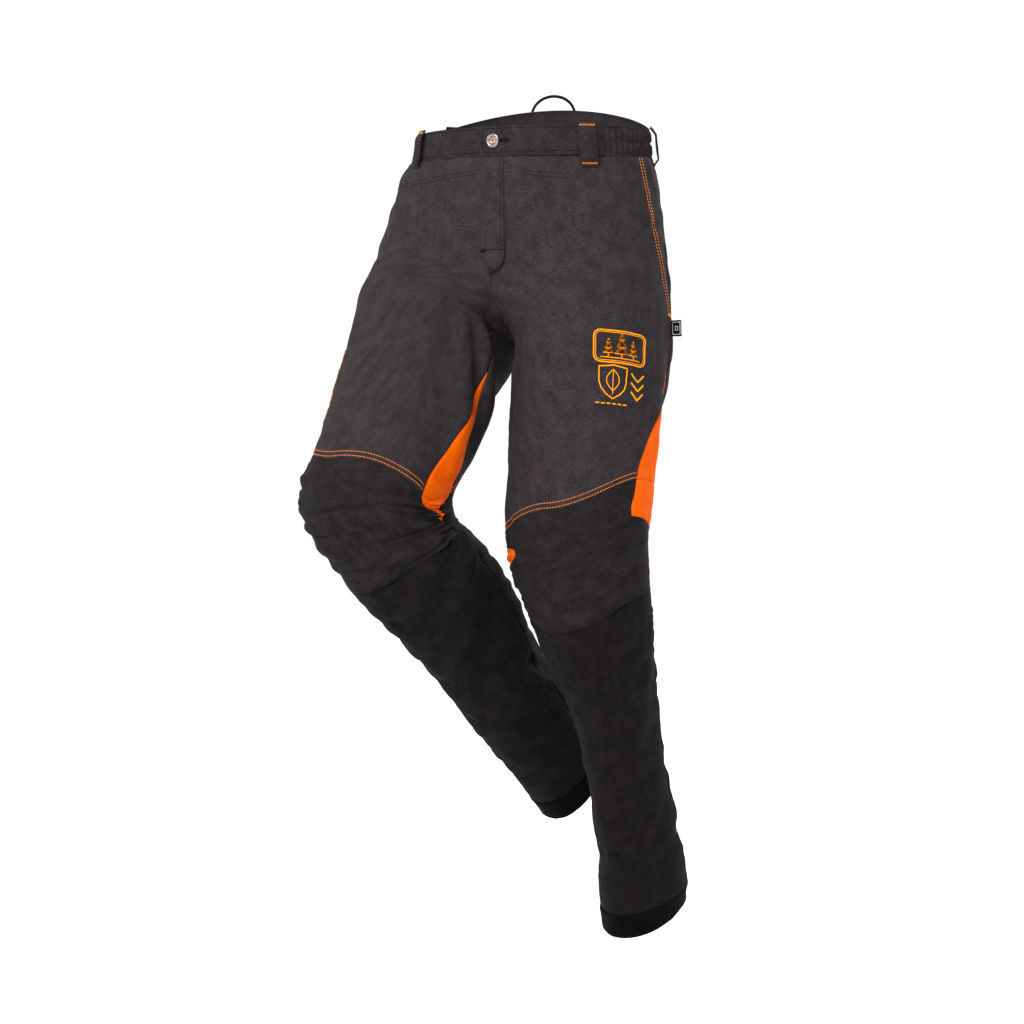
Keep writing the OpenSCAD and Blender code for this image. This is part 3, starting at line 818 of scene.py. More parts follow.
def solid_material(name, colour, rough, metal=0.0, grain=0.0, scale=400.0):
    """Thread, cord, metal or floor, with a fine speckle."""
    shader, add, link = new_material(name)
    speck = add("ShaderNodeTexNoise", Scale=scale, Detail=3.0)
    place = add("ShaderNodeTexCoord")
    link(place.outputs["Object"], speck.inputs["Vector"])
    ramp = add("ShaderNodeValToRGB")
    ramp.color_ramp.elements[0].color = tuple(c * (1 - grain) for c in colour[:3]) + (1,)
    ramp.color_ramp.elements[1].color = colour
    link(speck.outputs["Fac"], ramp.inputs["Fac"])
    link(ramp.outputs["Color"], shader.inputs["Base Color"])
    shader.inputs["Roughness"].default_value = rough
    shader.inputs["Metallic"].default_value = metal
    shader.inputs["Specular IOR Level"].default_value = 0.5 if metal else 0.05


cloth_material("shell", srgb(34, 30, 32), srgb(58, 52, 55), weave=0.0015)
cloth_material("knee", srgb(22, 19, 21), srgb(43, 39, 41), rough=0.86, weave=0.0018, bump=0.5)
# The shin material is the knee cloth made darker: painted shade for the lower leg, which gets less light.
cloth_material("shin", srgb(14, 12, 13), srgb(32, 28, 30), rough=0.88, weave=0.0018, bump=0.5)
# The hem material is the knee cloth made darker still: partly painted shade for the bottom of the leg, which gets
# less light, and partly the cuff's own darker tone.
cloth_material("hem", srgb(3, 2, 3), srgb(13, 11, 12), rough=0.88, weave=0.0018, bump=0.5)
cloth_material("band", srgb(28, 25, 26), srgb(51, 46, 48), weave=0.0015)
cloth_material("vent", srgb(226, 82, 0), srgb(248, 104, 0), rough=0.8, weave=0.0012, bump=0.25,
               crumple=0.2)
cloth_material("pocketing", srgb(52, 49, 50), srgb(64, 61, 62), weave=0.0007)
cloth_material("lining", srgb(36, 33, 35), srgb(52, 48, 51), rough=0.7, weave=0.0007, bump=0.2)
cloth_material("padding", srgb(162, 157, 140), srgb(182, 177, 162), rough=0.9, weave=0.003, bump=0.6)
cloth_material("tape", srgb(12, 11, 12), srgb(22, 20, 21), weave=0.0008)
cloth_material("elastic", srgb(142, 139, 132), srgb(162, 159, 152), weave=0.0012, bump=0.5)
cloth_material("label", srgb(5, 5, 5), srgb(12, 11, 12), rough=0.6, weave=0.0006, bump=0.15)
solid_material("thread_orange", srgb(228, 124, 6), 0.6, grain=0.18)
solid_material("thread_dark", srgb(12, 11, 12), 0.65, grain=0.2)
solid_material("satin_orange", srgb(226, 134, 6), 0.55, grain=0.12, scale=900)
solid_material("white_thread", srgb(170, 168, 164), 0.6, grain=0.1)
solid_material("cord", srgb(16, 14, 15), 0.7, grain=0.25, scale=700)
solid_material("steel", srgb(140, 138, 136), 0.3, metal=1.0, grain=0.12)
solid_material("copper", srgb(170, 84, 34), 0.4, metal=1.0, grain=0.3, scale=900)

CLOTH = fill_centre(make_cloth())


# ---------------------------------------------------------------- where hips and knees would bend
CROTCH = np.array([-0.003, 0.01, -0.286])
HIP_BEND, KNEE_BEND = {}, {}
for side, leg in LEGS.items():
    d = unit(np.array([leg.sign * 0.35, 0, -0.937]))
    HIP_BEND[side] = (CROTCH, CROTCH + d * (0.145 if side == "right" else 0.185))
    d = unit(leg.thigh_dir + leg.shin_dir)
    KNEE_BEND[side] = (leg.knee + d * (-0.006 if side == "right" else -0.028),
                       leg.knee + d * (0.098 if side == "right" else 0.092))


def upper(obj, side, *nodes):
    """A piece of the upper trousers, baked into place, with the CAD nodes it stands for hidden."""
    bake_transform(obj)
    if nodes:
        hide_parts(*nodes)
    return obj


def lower(obj, side, *nodes):
    """A piece of the lower legs, baked into place, with the CAD nodes it stands for hidden."""
    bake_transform(obj)
    if nodes:
        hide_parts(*nodes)
    return obj


def rides(obj, body, *nodes):
    """A piece that moves with one body, and the CAD nodes it stands for."""
    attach(obj, body)
    if nodes:
        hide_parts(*nodes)
    return obj


def as_sheet(obj):
    """Works out a cloth piece's flat width from its measured size, and returns the piece unchanged."""
    w, l, area = obj["flat_w"], obj["flat_l"], obj["area"]
    w = min(max(w, area / l), area / (0.31 * l))
    return obj


def at(value):
    """An edge that stays at one row or at one angle."""
    return lambda x: np.zeros_like(np.asarray(x, float)) + value


def leg_of_waist(side, w):
    """Leg column angle for a waist angle."""
    w = w if side == "left" else 180 - w
    w = (np.asarray(w, float) + 180) % 360 - 180
    return np.sign(w) * CROTCH_A * (np.abs(w) / 90) ** 0.8


def below(r, start, count=BEND):
    return np.clip((r - start) / count, 0, 3)


def vent_half(r):
    """Half width of a contrast panel above the knee seam, in degrees."""
    return 34 * ease((r - (ROW_THIGH + 4)) / (ROW_KNEE - ROW_THIGH - 3))


OUTER_SEAM = -24.0


def seams(side):
    """Leg angles, as functions of row, of the two edges of the outer and of the inner seam."""
    front, back, end = (0.6, 0.6, 0.36) if side == "right" else (0.8, 0.35, 1.0)
    peep = 0 if side == "right" else 58

    def outer_front(r):
        knee = below(r, ROW_KNEE)
        low = mix(16 + 4 * ease(knee / 0.2), OUTER_SEAM + 3.5, ease((knee - 0.22) / 0.09))
        low = mix(low, OUTER_SEAM + 0.2, ease((knee - 0.8) / 0.3))
        return np.where(r <= ROW_KNEE, OUTER_SEAM + 0.2 + vent_half(r) * 1.17, low)

    def outer_back(r):
        knee = below(r, ROW_KNEE)
        low = mix(OUTER_SEAM - 0.2 - 34 * 0.3, OUTER_SEAM - 3.5, ease(knee / 0.5))
        low = mix(low, OUTER_SEAM - 0.2, ease((knee - 0.8) / 0.3))
        return np.where(r <= ROW_KNEE, OUTER_SEAM - 0.2 - vent_half(r) * 0.3, low)

    def inner_front(r):
        knee = below(r, ROW_KNEE)
        low = mix(198 - 34 * front, 195.0, ease((knee - 0.12) / 0.16))
        low = low - peep * np.exp(-(((knee - 0.24) / 0.12) ** 2)) * ease(knee / 0.1)
        low = mix(low, 197.8, ease((knee - end) / 0.2))
        return np.where(r <= ROW_KNEE, inner_seam(r) - 0.2 - vent_half(r) * front, low)

    def inner_back(r):
        knee = below(r, ROW_KNEE)
        low = mix(198.2 + 34 * back, 201.0, ease(knee / (0.5 * end)))
        low = mix(low, 198.2, ease((knee - end) / 0.2))
        return np.where(r <= ROW_KNEE, inner_seam(r) + 0.2 + vent_half(r) * back, low)

    return outer_front, outer_back, inner_front, inner_back


def inner_seam(r):
    return 180 + 18 * ease((r - ROW_LEG) / (ROW_KNEE - ROW_LEG))


def yoke_low(a):
    """Row of the back yoke's lower edge."""
    turned = np.abs(np.where(np.asarray(a, float) > 180, np.asarray(a, float) - 360, a))
    return 1.2 + 4.6 * ease((turned - 24) / 80)


KNEE_LOW = ROW_SHIN - 6.0
VENT_TOP = ROW_THIGH + 5.0
VENT_LOW = ROW_SHIN + 3.0
for side in SIDES:
    s = "_" + side
    outer_front, outer_back, inner_front, inner_back = seams(side)
    # Beside the zip the left panel stops short of the centre
    zip_a = 109.0 if side == "left" else CROTCH_A - 1.2
    front = panel("front_panel" + s, side, [outer_front, at(zip_a), at(CROTCH_A), inner_front], (40, 2, 22),
                  [at(0), at(12.2), at(ROW_LEG), at(ROW_KNEE)], (23, 3, 84), "shell", "shell_cloth",
                  skip=[(1, 0), (2, 0), (2, 1)])
    as_sheet(upper(front, side, "front_panel" + s, "hip_fold" + s, "thigh_front" + s))
    back = panel("seat_panel" + s, side, [inner_back, at(360 - CROTCH_A), lambda r: outer_back(r) + 360],
                 (20, 36), [yoke_low, at(ROW_LEG), at(ROW_KNEE)], (18, 76), "shell", "shell_cloth",
                 skip=[(0, 0)])
    as_sheet(upper(back, side, "seat_panel" + s, "thigh_back" + s))
    for where, lo, hi in (("outer", outer_back, outer_front), ("inner", inner_front, inner_back)):
        vent = panel("vent_" + where + s, side, [lo, hi], (12,), [at(VENT_TOP), at(ROW_KNEE)], (34,),
                     "vent", "vent_cloth", out=-0.0004)
        as_sheet(upper(vent, side, "vent_" + where + s))
        low = ROW_KNEE + 0.56 * BEND if (side, where) == ("right", "inner") else VENT_LOW
        gusset = panel("vent_low_" + where + s, side, [lo, hi], (12,), [at(ROW_KNEE), at(low)], (64,),
                       "vent", "vent_cloth", out=-0.0004)
        as_sheet(lower(gusset, side))
    knee = panel("knee_panel" + s, side, [outer_front, inner_front], (60,),
                 [at(ROW_KNEE), at(KNEE_LOW)], (74,), "knee", "knee_cloth")
    as_sheet(lower(knee, side, "knee_panel" + s))
    # The shin front uses the darker shin copy of the knee cloth, as painted shade for the lower leg.
    shin = panel("shin_front" + s, side, [outer_front, inner_front], (54,),
                 [at(KNEE_LOW), at(ROW_HEM)], (110,), "shin", "knee_cloth")
    as_sheet(lower(shin, side, "shin_front" + s))
    # The calf also uses the darker shin copy of the knee cloth, as painted shade for the lower leg.
    calf = panel("calf" + s, side, [inner_back, lambda r: outer_back(r) + 360], (44,),
                 [at(ROW_KNEE), at(ROW_HEM)], (170,), "shin", "knee_cloth")
    as_sheet(lower(calf, side, "knee_back" + s, "shin_back" + s))


# ---------------------------------------------------------------- waistband
def band_at(a, z, out):
    """Point of the waistband at waist angle a and height z, a distance out."""
    a, z = np.broadcast_arrays(np.asarray(a, float), np.asarray(z, float))
    p = waist_at(a, z)
    n = np.cross(waist_at(a, z + 0.002) - p, waist_at(a + 0.5, z) - p)
    n[..., 2] *= 0.3
    return p + unit(n) * np.asarray(out)[..., None]


def band_normal(a, z):
    return unit(band_at(a, z, 0.01) - band_at(a, z, 0.0))


def gathers(a, v):
    """Upright gathers of the elasticated sides, pinched flat by three rows of stitching."""
    pinch = np.minimum.reduce([np.abs(v - t) for t in (0.06, 0.5, 0.94)])
    roll = 0.6 * np.sin(np.radians(a) * 92 + 0.9 * np.sin(np.radians(a) * 11))
    roll = roll + 0.4 * noise2(a / 1.3, v * 3, 21)
    return 0.0024 * (roll + 0.5) * ease(pinch / 0.09)


def band_edge(drop):
    """A level line below the waistband's top edge."""
    return lambda a: rise(a) - drop


def band(name, start, end, shade="band", out=0.0012, thick=0.0032, gather=0.0, in_cad=True,
         top=band_edge(0.0), low=band_edge(BAND_H + 0.0015)):
    """A piece of the waistband between two waist angles."""
    cols = max(10, int(abs(end - start) * (2.6 if gather else 0.9)))
    tu = np.unique(np.concatenate([np.linspace(0, 1, cols), [0.004, 0.996]]))
    half = [0, 0.02, 0.06, 0.12, 0.2, 0.3, 0.4, 0.46]
    tv = np.array(half + [0.5] + [1 - v for v in half[::-1]])
    a, v = np.meshgrid(mix(start, end, tu), tv)
    z = mix(top(a), low(a), v)
    edge = np.minimum.reduce([v, 1 - v, (a - min(start, end)) / 4.0, (max(start, end) - a) / 4.0])
    round_off = 0.0012 * (1 - ease(edge / 0.05))
    ripple = 0.0004 * noise2(a / 5.0, v * 2.0, 31)
    lift = out - round_off + ripple + gather * gathers(a, v)
    outer = band_at(a, z, lift)
    inner = band_at(a, z, lift - thick + round_off)
    kept = np.ones((len(tv) - 1, len(tu) - 1), bool)
    obj = cloth_piece(name, outer, inner, kept, end > start, shade, "band_cloth" if gather else "shell_cloth")
    as_sheet(rides(obj, "waist", *([name] if in_cad else [])))


def facing_low(a):
    """The curved lower seam of the facing inside the back of the waistband."""
    return rise(a) - 0.034 - 0.010 * np.maximum(0, cosd(3 * (a - 270)))


band("waistband_front_right", 93.0, 147.2)
band("waistband_front_left", 33.0, 94.0, out=0.0034)
band("waistband_underlap", 76.0, 100.0, out=-0.0026, thick=0.0016)
band("waistband_side_right", 147.0, 206.6, out=0.0006, gather=1.0)
band("waistband_side_left", -26.6, 33.0, out=0.0006, gather=1.0)
band("waistband_back", 206.8, 333.2)
for s, start, end in (("_right", 150.0, 204.0), ("_left", -24.0, 30.0)):
    band("elastic" + s, start, end, "elastic", out=-0.0036, thick=0.0011, gather=0.35,
         top=band_edge(0.005), low=band_edge(0.034))
band("waistband_facing", 212.0, 328.0, "lining", out=-0.0030, thick=0.0008, in_cad=False,
     top=band_edge(0.004), low=facing_low)

# ---------------------------------------------------------------- yoke and stitching of the upper trousers
# Felled seam under the crotch, from below the fly to the seat, which joins the two sides
CROTCH_SEAM_HALF = 0.0044
t = np.linspace(0, 1, 90)
past_ends = mix(CROTCH_A - 6, 366 - CROTCH_A, t)
seam_a = np.clip(past_ends, CROTCH_A, 360 - CROTCH_A)
path = cloth_at("right", seam_a, ROW_LEG - 0.25 * np.abs(past_ends - seam_a))
normal = unit(np.cross(np.gradient(path, axis=0), [-1.0, 0.0, 0.0]))
half = CROTCH_SEAM_HALF * (0.25 + 0.75 * ease(np.minimum(t, 1 - t) / 0.08))
points, faces = tube(path, half, normal, 0.45, 12)
uv = np.stack([np.arange(len(points)) % 12 * 0.001, np.arange(len(points)) // 12 * 0.004], -1)
rides(new_object("crotch_seam", points, faces, "shell", "shell_cloth", uv), "waist")

for side in SIDES:
    s = "_" + side
    yoke = panel("back_yoke" + s, side, [at(360 - CROTCH_A), at(360 + OUTER_SEAM)], (34,),
                 [at(0), yoke_low], (14,), "shell", "shell_cloth", out=0.0003)
    as_sheet(rides(yoke, "waist", "back_yoke"))


def twin(side, a, r, gap=0.0058, down=0.0):
    """Two rows of stitches, the first some way below row r and the second a gap further up."""
    low = down_by(side, a, r, down) if np.any(down) else r
    return stitch_row(side, a, low) + stitch_row(side, a, down_by(side, a, low, -gap))


def beside(side, edge, r, *offsets):
    """Rows of stitches along an edge, some degrees to its side."""
    return [part for offset in offsets for part in stitch_row(side, edge(r) + offset, r)]


def thread(name, parts, shade="thread_dark", slot="embroidery"):
    """One object of many threads."""
    return new_object(name, *join(parts), shade, slot)


for side in SIDES:
    s = "_" + side
    outer_front, outer_back, inner_front, inner_back = seams(side)
    t = np.linspace(0, 1, 260)
    knee = mix(17.0, float(inner_front(ROW_KNEE)) - 2.0, t)
    bright = twin(side, knee, at(ROW_KNEE)(t), down=-0.0030)
    bright += twin(side, mix(212.0, 325.0, t), at(ROW_KNEE)(t), down=-0.0030)
    # Pocket edge beside the side seam, and its bar tacks
    pocket_r = mix(0.4, ROW_LEG + 14.0, t)
    pocket_a = mix(9.5, -17.5, ease(t * 0.9))
    bright += stitch_row(side, pocket_a, pocket_r)
    bright += stitch_row(side, pocket_a + 4.2 + 1.8 * sind(180 * t), pocket_r)
    bright += bartack(side, pocket_a[-1] - 1.5, pocket_a[-1] + 5.5, pocket_r[-1])
    # Dark rows across the front below the band, and beside the seams
    across = mix(72.0, 97.0, t) if side == "left" else mix(20.0, 108.0, t)
    dark = twin(side, across, at(0)(t), 0.005, 0.012 + 0.003 * sind(across * 2))
    seam_r = mix(ROW_LEG + 2.0, VENT_TOP, t)
    dark += beside(side, outer_front, seam_r, 2.2, 4.6) + beside(side, inner_front, seam_r, -2.4)
    if side == "left":
        dark += beside(side, at(CROTCH_A), mix(9.0, ROW_LEG - 0.3, t), -1.6, -4.2)
    rear_a = mix(360 - CROTCH_A + 3, 360 + OUTER_SEAM - 2, t)
    dark += twin(side, rear_a, yoke_low(rear_a), 0.0052, -0.0022)
    dark += beside(side, at(360 - CROTCH_A), mix(6.4, ROW_LEG - 0.3, t), 1.5, 4.0)
    upper(thread("stitching_upper" + s, bright, "thread_orange"), side)
    upper(thread("dark_stitching_upper" + s, dark), side)
    # Below the knee: the shin seam, a curved row over the shin, the ankle and the leg's seams
    low = twin(side, mix(0.0, 186.0, t), at(KNEE_LOW)(t), 0.005, -0.0030)
    low += twin(side, mix(2.0, 182.0, t), at(ROW_SHIN + 3.0)(t), 0.004, 0.030 * sind(180 * t) - 0.012)
    ankle_a = mix(0.0, 357.0, t)
    low += twin(side, ankle_a, ROW_HEM - 7.0 + 1.4 * sind(ankle_a), 0.004)
    edge_r = mix(ROW_SHIN + 8.0, ROW_HEM - 1.0, t)
    low += beside(side, outer_front, edge_r, 3.0) + beside(side, outer_back, edge_r, -3.0)
    low += beside(side, inner_front, edge_r, -3.0)
    lower(thread("dark_stitching_lower" + s, low), side)


# ---------------------------------------------------------------- linings, pads, cuffs and pocket bags
def ring_slab(outer, inner, flip):
    """Closed cloth ring from two grids whose columns wrap round."""
    rows, n = outer.shape[:2]
    size, faces = rows * n, []
    for j in range(n):
        k = (j + 1) % n
        for i in range(rows - 1):
            faces.append([i * n + j, (i + 1) * n + j, (i + 1) * n + k, i * n + k])
            faces.append([size + i * n + k, size + (i + 1) * n + k, size + (i + 1) * n + j, size + i * n + j])
        faces.append([k, k + size, j + size, j])
        low = (rows - 1) * n
        faces.append([low + j, low + j + size, low + k + size, low + k])
    faces = [f[::-1] for f in faces] if flip else faces
    u = np.cumsum(np.linalg.norm(np.roll(outer, -1, 1) - outer, axis=-1), 1)
    v = np.cumsum(np.pad(np.linalg.norm(np.diff(outer, axis=0), axis=-1), ((1, 0), (0, 0))), 0)
    uv = np.stack([u, -v], -1).reshape(-1, 2)
    return np.concatenate([outer.reshape(-1, 3), inner.reshape(-1, 3)]), faces, np.concatenate([uv, uv])


for side in SIDES:
    s, leg = "_" + side, LEGS[side]
    lining = panel("thigh_lining" + s, side, [at(-8.0), at(351.8)], (90,),
                   [at(ROW_LEG + 13), at(ROW_KNEE - 1.0)], (40,), "lining", "lining", out=-0.0098,
                   thick=0.0008, fine=False, depth=0)
    as_sheet(upper(lining, side, "thigh_lining" + s))
    pad = panel("thigh_pad" + s, side, [at(-2.0), at(166.0)], (50,), [at(ROW_LEG + 14), at(ROW_KNEE - 1.5)],
                (30,), "padding", "protective_pad", out=-0.0034, thick=0.0052, fine=False, depth=0.0015)
    upper(pad, side, "thigh_pad" + s)
    pad = panel("shin_pad" + s, side, [at(-2.0), at(176.0)], (46,), [at(ROW_KNEE + 1.5), at(ROW_HEM - 12)],
                (90,), "padding", "protective_pad", out=-0.0098, thick=0.0050, fine=False, depth=0.0015)
    lower(pad, side, "shin_pad" + s)
    bag = panel("pocket_bag" + s, side, [at(-16.0), at(52.0)], (26,), [at(1.5), at(ROW_LEG + 6)], (30,),
                "pocketing", "pocketing", out=-0.0060, thick=0.0012, fine=False, depth=0)
    as_sheet(upper(bag, side, "pocket_bag" + s))
    a = np.arange(96) * 360 / 96
    rows = []
    for v, lift in ((0, 0.0), (0.03, 0.0010), (0.12, 0.0014), (0.3, 0.0010), (0.5, 0.0012), (0.7, 0.0010),
                    (0.9, 0.0014), (0.98, 0.0008), (1, 0.0)):
        # The hem hangs lower at the front, over the boot
        along_leg = leg.shin_l - HEM_H + v * (HEM_H + 0.009 * np.maximum(0, sind(a)) - 0.002)
        ring = leg.shin(a, along_leg)
        lifts = lift + (0.0007 * noise2(a / 9.0, 0 * a + v * 3, 41) if 0 < v < 1 else 0 * a)
        rows.append(ring + unit(ring - ring.mean(0)) * lifts[:, None])
    # The cuff's top ring is drawn to the cloth's last row
    to_cloth = skin(side, a, ROW_HEM + 0 * a, 0.0, False) - rows[0]
    outer = np.array(rows) + to_cloth[None] * (1 - np.linspace(0, 1, len(rows)))[:, None, None]
    inner = outer - unit(outer - outer.mean(1, keepdims=True)) * 0.0026
    points, faces, uv = ring_slab(outer, inner, side == "left")
    # The cuff uses the darkest copy of the knee cloth: partly painted shade at the bottom of the leg, and partly
    # the cuff's own darker tone.
    cuff = new_object("hem_cuff" + s, points, faces, "hem", "knee_cloth", uv)
    cuff["flat_w"], cuff["flat_l"], cuff["area"] = measured(np.concatenate([outer, outer[:, :1]], 1),
                                                            np.ones((len(rows) - 1, 96), bool))
    as_sheet(rides(cuff, "shin_" + side, "hem_cuff" + s))
    ring = np.concatenate([outer[6], outer[6][:1]])
    normal = unit(ring - outer[6].mean(0))
    rides(thread("hem_stitching" + s, stitches_on(ring + normal * 0.0003, normal)), "shin_" + side)


# ---------------------------------------------------------------- belt loops and hanger loop
def belt_loop(name, a0, half, z_top, z_low, bulge, thick=0.0017, start=0.0042):
    """A cloth strip sewn over the waistband at its two ends and standing off between them."""
    ts = np.array([0, 0.006, 0.03, 0.07] + list(np.linspace(0.12, 0.88, 24)) + [0.93, 0.97, 0.994, 1])
    us = np.array([-1, -0.97, -0.86, -0.5, 0, 0.5, 0.86, 0.97, 1])
    t, u = np.meshgrid(ts, us, indexing="ij")
    z = rise(a0) + mix(z_top, z_low, t)
    stand = start + bulge * (ease(t / 0.22) * ease((1 - t) / 0.22)) ** 0.8
    stand = stand - 0.0022 * ease((t - 0.78) / 0.2) - 0.0006 * (1 - ease((1 - np.abs(u)) / 0.1))
    stand = stand + 0.0005 * np.sin(t * 9 + a0) * (1 - u**2)
    outer = band_at(a0 + u * half, z, stand)
    inner = band_at(a0 + u * half, z, stand - thick)
    kept = np.ones((len(ts) - 1, len(us) - 1), bool)
    as_sheet(rides(cloth_piece(name, outer, inner, kept, True, "band", "band_cloth"), "waist", name))
    dark = []
    for k in (1, 7):
        side_path = 0.82 * outer[1:-1, k] + 0.18 * outer[1:-1, 4]
        normal = unit(outer[1:-1, k] - inner[1:-1, k])
        dark += stitches_on(side_path + normal * 0.0002, normal)
    rides(thread(name + "_edges", dark), "waist")
    bars = []
    for i in (3, len(ts) - 4):
        normal = unit(outer[i, 4] - inner[i, 4])
        bars += bar_on(mix(outer[i, 1], outer[i, 7], 0.07), mix(outer[i, 7], outer[i, 1], 0.07), normal)
    rides(thread(name + "_bartacks", bars, "thread_orange"), "waist")


belt_loop("belt_loop_front_right", 139, 4.6, 0.003, -0.054, 0.0052)
belt_loop("belt_loop_front_left", 41, 4.6, 0.003, -0.054, 0.0052)
belt_loop("belt_loop_hip_right", 202, 4.2, 0.002, -0.051, 0.0068)
belt_loop("belt_loop_hip_left", -22, 4.2, 0.002, -0.051, 0.0068)

# Half width and height of the hanger loop's arch, and the height where the arch starts
LOOP_R, LOOP_H, LOOP_FOOT = 0.0315, 0.026, 0.036
loop_mid, loop_turn = waist_at(270 - BACK_TURN, BACK_RISE), math.radians(9)
loop_side = np.array([math.cos(loop_turn), math.sin(loop_turn), 0])
loop_out = np.array([-math.sin(loop_turn), math.cos(loop_turn), 0])


def on_loop(x, out, z):
    """Point in the hanger loop's own plane: x along the waist, out backwards, z up."""
    x, out, z = np.broadcast_arrays(x, out, z)
    flat = np.array([loop_mid[0], loop_mid[1], 0])
    return flat + x[..., None] * loop_side + out[..., None] * loop_out + z[..., None] * np.array([0, 0, 1.0])


turn = np.linspace(0, 180, 40)
foot = np.linspace(0.012, LOOP_FOOT - 0.001, 8)
arch = on_loop(LOOP_R * cosd(turn), 0.0022, LOOP_FOOT + LOOP_H * sind(turn))
arch = np.concatenate([on_loop(LOOP_R, 0.0022, foot), arch, on_loop(-LOOP_R, 0.0022, foot[::-1])])
cord = tube(arch, 0.0020, np.broadcast_to(loop_out, arch.shape), 0.75, 10)
rides(new_object("hanger_loop", *cord, "cord", "band_cloth"), "waist", "hanger_loop")
hanger_bars = []
for x in (-LOOP_R, LOOP_R):
    spot = on_loop(x, 0.0040, 0.021)
    hanger_bars += bar_on(spot - 0.004 * loop_side, spot + 0.004 * loop_side, loop_out)
rides(thread("hanger_bartacks", hanger_bars), "waist")

# Topstitching of the waistband: start and end angle, number of points, height out, depths
rows = []
pinches = (0.06 * BAND_H, 0.5 * BAND_H, 0.94 * BAND_H)
for start, end, count, out, depths in (
        (95.0, 146.5, 160, 0.0016, (0.0032, BAND_H - 0.0040)),
        (34.5, 93.2, 160, 0.0038, (0.0032, BAND_H - 0.0040)),
        (207.5, 332.5, 160, 0.0016, (0.0032, BAND_H - 0.0040)),
        (147.6, 206.2, 200, 0.0009, pinches),
        (-26.2, 32.4, 200, 0.0009, pinches)):
    a = np.linspace(start, end, count)
    for depth in depths:
        rows += stitches_on(band_at(a, rise(a) - depth, out), band_normal(a, rise(a) - depth))
z = np.linspace(-0.004, -0.034, 30)
rows += stitches_on(band_at(92.4, z, 0.0038), band_normal(92.4, z))
rides(thread("waistband_stitching", rows), "waist")


# ---------------------------------------------------------------- fly, zip and button
def fly_at(x, z, out):
    """Point on or above the front of the trousers."""
    y = FRONT_Y * np.sqrt(1 - (x / ring_w(z)) ** 2)
    return np.stack([x, y - out, z + 0 * x], -1)


def fly_out(x, z):
    """How far the flap lies off the cloth behind it: proud over the zip, flat at its sewn edge."""
    t = (x + 0.010) / 0.0345
    out = 0.0048 - 0.0012 * (1 - ease(t / 0.25)) - 0.0034 * ease((t - 0.62) / 0.38)
    return out + 0.0003 * noise2(x / 0.012, z / 0.022, 9)


def board(name, xs, zs, out, thick, body, nodes, shade, slot, place, edge=0.0007):
    """A cloth piece over a grid of x and z, lifted by out and set in space by place."""
    x, z = np.meshgrid(xs, zs)
    near = np.minimum.reduce([np.abs(x - xs[0]), np.abs(x - xs[-1]), np.abs(z - zs[0]), np.abs(z - zs[-1])])
    lift, sink = out(x, z), min(edge, thick / 2) * (1 - ease(near / 0.0016))
    outer, inner = place(x, z, lift - sink), place(x, z, lift - thick)
    kept = np.ones((len(zs) - 1, len(xs) - 1), bool)
    as_sheet(rides(cloth_piece(name, outer, inner, kept, False, shade, slot), body, *nodes))


def edged(start, end, count):
    """Even steps, with two more close to the ends."""
    t = np.linspace(start, end, count)
    step = 0.0009 * np.sign(end - start)
    return np.array([start, start + step, *t[1:-1], end - step, end])


board("fly_flap", edged(-0.010, 0.0245, 18), edged(-0.0395, -0.160, 40), fly_out, 0.0016, "fly_flap",
      ["fly_flap"], "shell", "shell_cloth", fly_at)


def ahead(count, aside=0.0):
    """Normals of a path on the front."""
    return np.tile([aside, -1.0, 0.0], (count, 1))


rows = []
z = np.linspace(-0.0415, -0.158, 120)
for x in (0.0192, 0.0230):
    rows += stitches_on(fly_at(x + 0 * z, z, fly_out(x + 0 * z, z) + 0.0002), ahead(120))
rides(thread("fly_flap_stitching", rows), "fly_flap")


def fly_end_at(u, v, out):
    """The stitched-down end of the fly, curving in to the centre seam."""
    left = -0.010 + 0.012 * ease(v)
    right = 0.0245 - 0.0205 * (1 - np.sqrt(np.maximum(0, 1 - v**2.4)))
    x = mix(left, right, u)
    z = -0.1606 - 0.0285 * v
    return fly_at(x, z, out)


def fly_end_out(u, v):
    """Room for the lowered zip pull behind it, and flat where it is stitched down."""
    return 0.0048 - 0.0026 * np.maximum(ease((u - 0.6) / 0.4), ease((v - 0.78) / 0.22))


board("fly_end", edged(0, 1, 14), np.linspace(0, 1, 16), fly_end_out, 0.0014, "waist", [], "shell",
      "shell_cloth", fly_end_at)
v = np.linspace(0.02, 0.97, 60)
rows = []
for u in (0.80, 0.92):
    rows += stitches_on(fly_end_at(u + 0 * v, v, fly_end_out(u, v) + 0.0001), ahead(60))
rides(thread("fly_end_stitching", rows), "waist")
tack = fly_at(np.array([-0.008, -0.001]), np.array([-0.1615, -0.1615]), 0.0049)
rides(thread("fly_bartack", bar_on(tack[0], tack[1], ahead(1)[0])), "waist")


def flat_at(y):
    """Places a board in a flat upright plane."""
    return lambda x, z, out: np.stack([x, y - out, z], -1)


for s, start, end in (("_right", -0.0092, 0.0058), ("_left", 0.0062, 0.0212)):
    board("zip_tape" + s, np.linspace(start, end, 6), np.linspace(-0.041, -0.171, 20), lambda x, z: 0 * x,
          0.0008, "waist", ["zip_tape" + s], "tape", "zip_tape", flat_at(-0.1144))
board("fly_shield", np.linspace(-0.016, 0.026, 10), np.linspace(-0.043, -0.175, 20), lambda x, z: 0 * x,
      0.0014, "waist", ["fly_shield"], "shell", "shell_cloth", flat_at(-0.1128))
for name in ("zip_teeth", "zip_stops", "zip_slider", "zip_pull", "button_tack", "waist_button"):
    node = frame["nodes"][name]
    node.data.materials.clear()
    node.data.materials.append(SHADES["steel"])

BUTTON = np.array([0.009, -0.1194, -0.019])


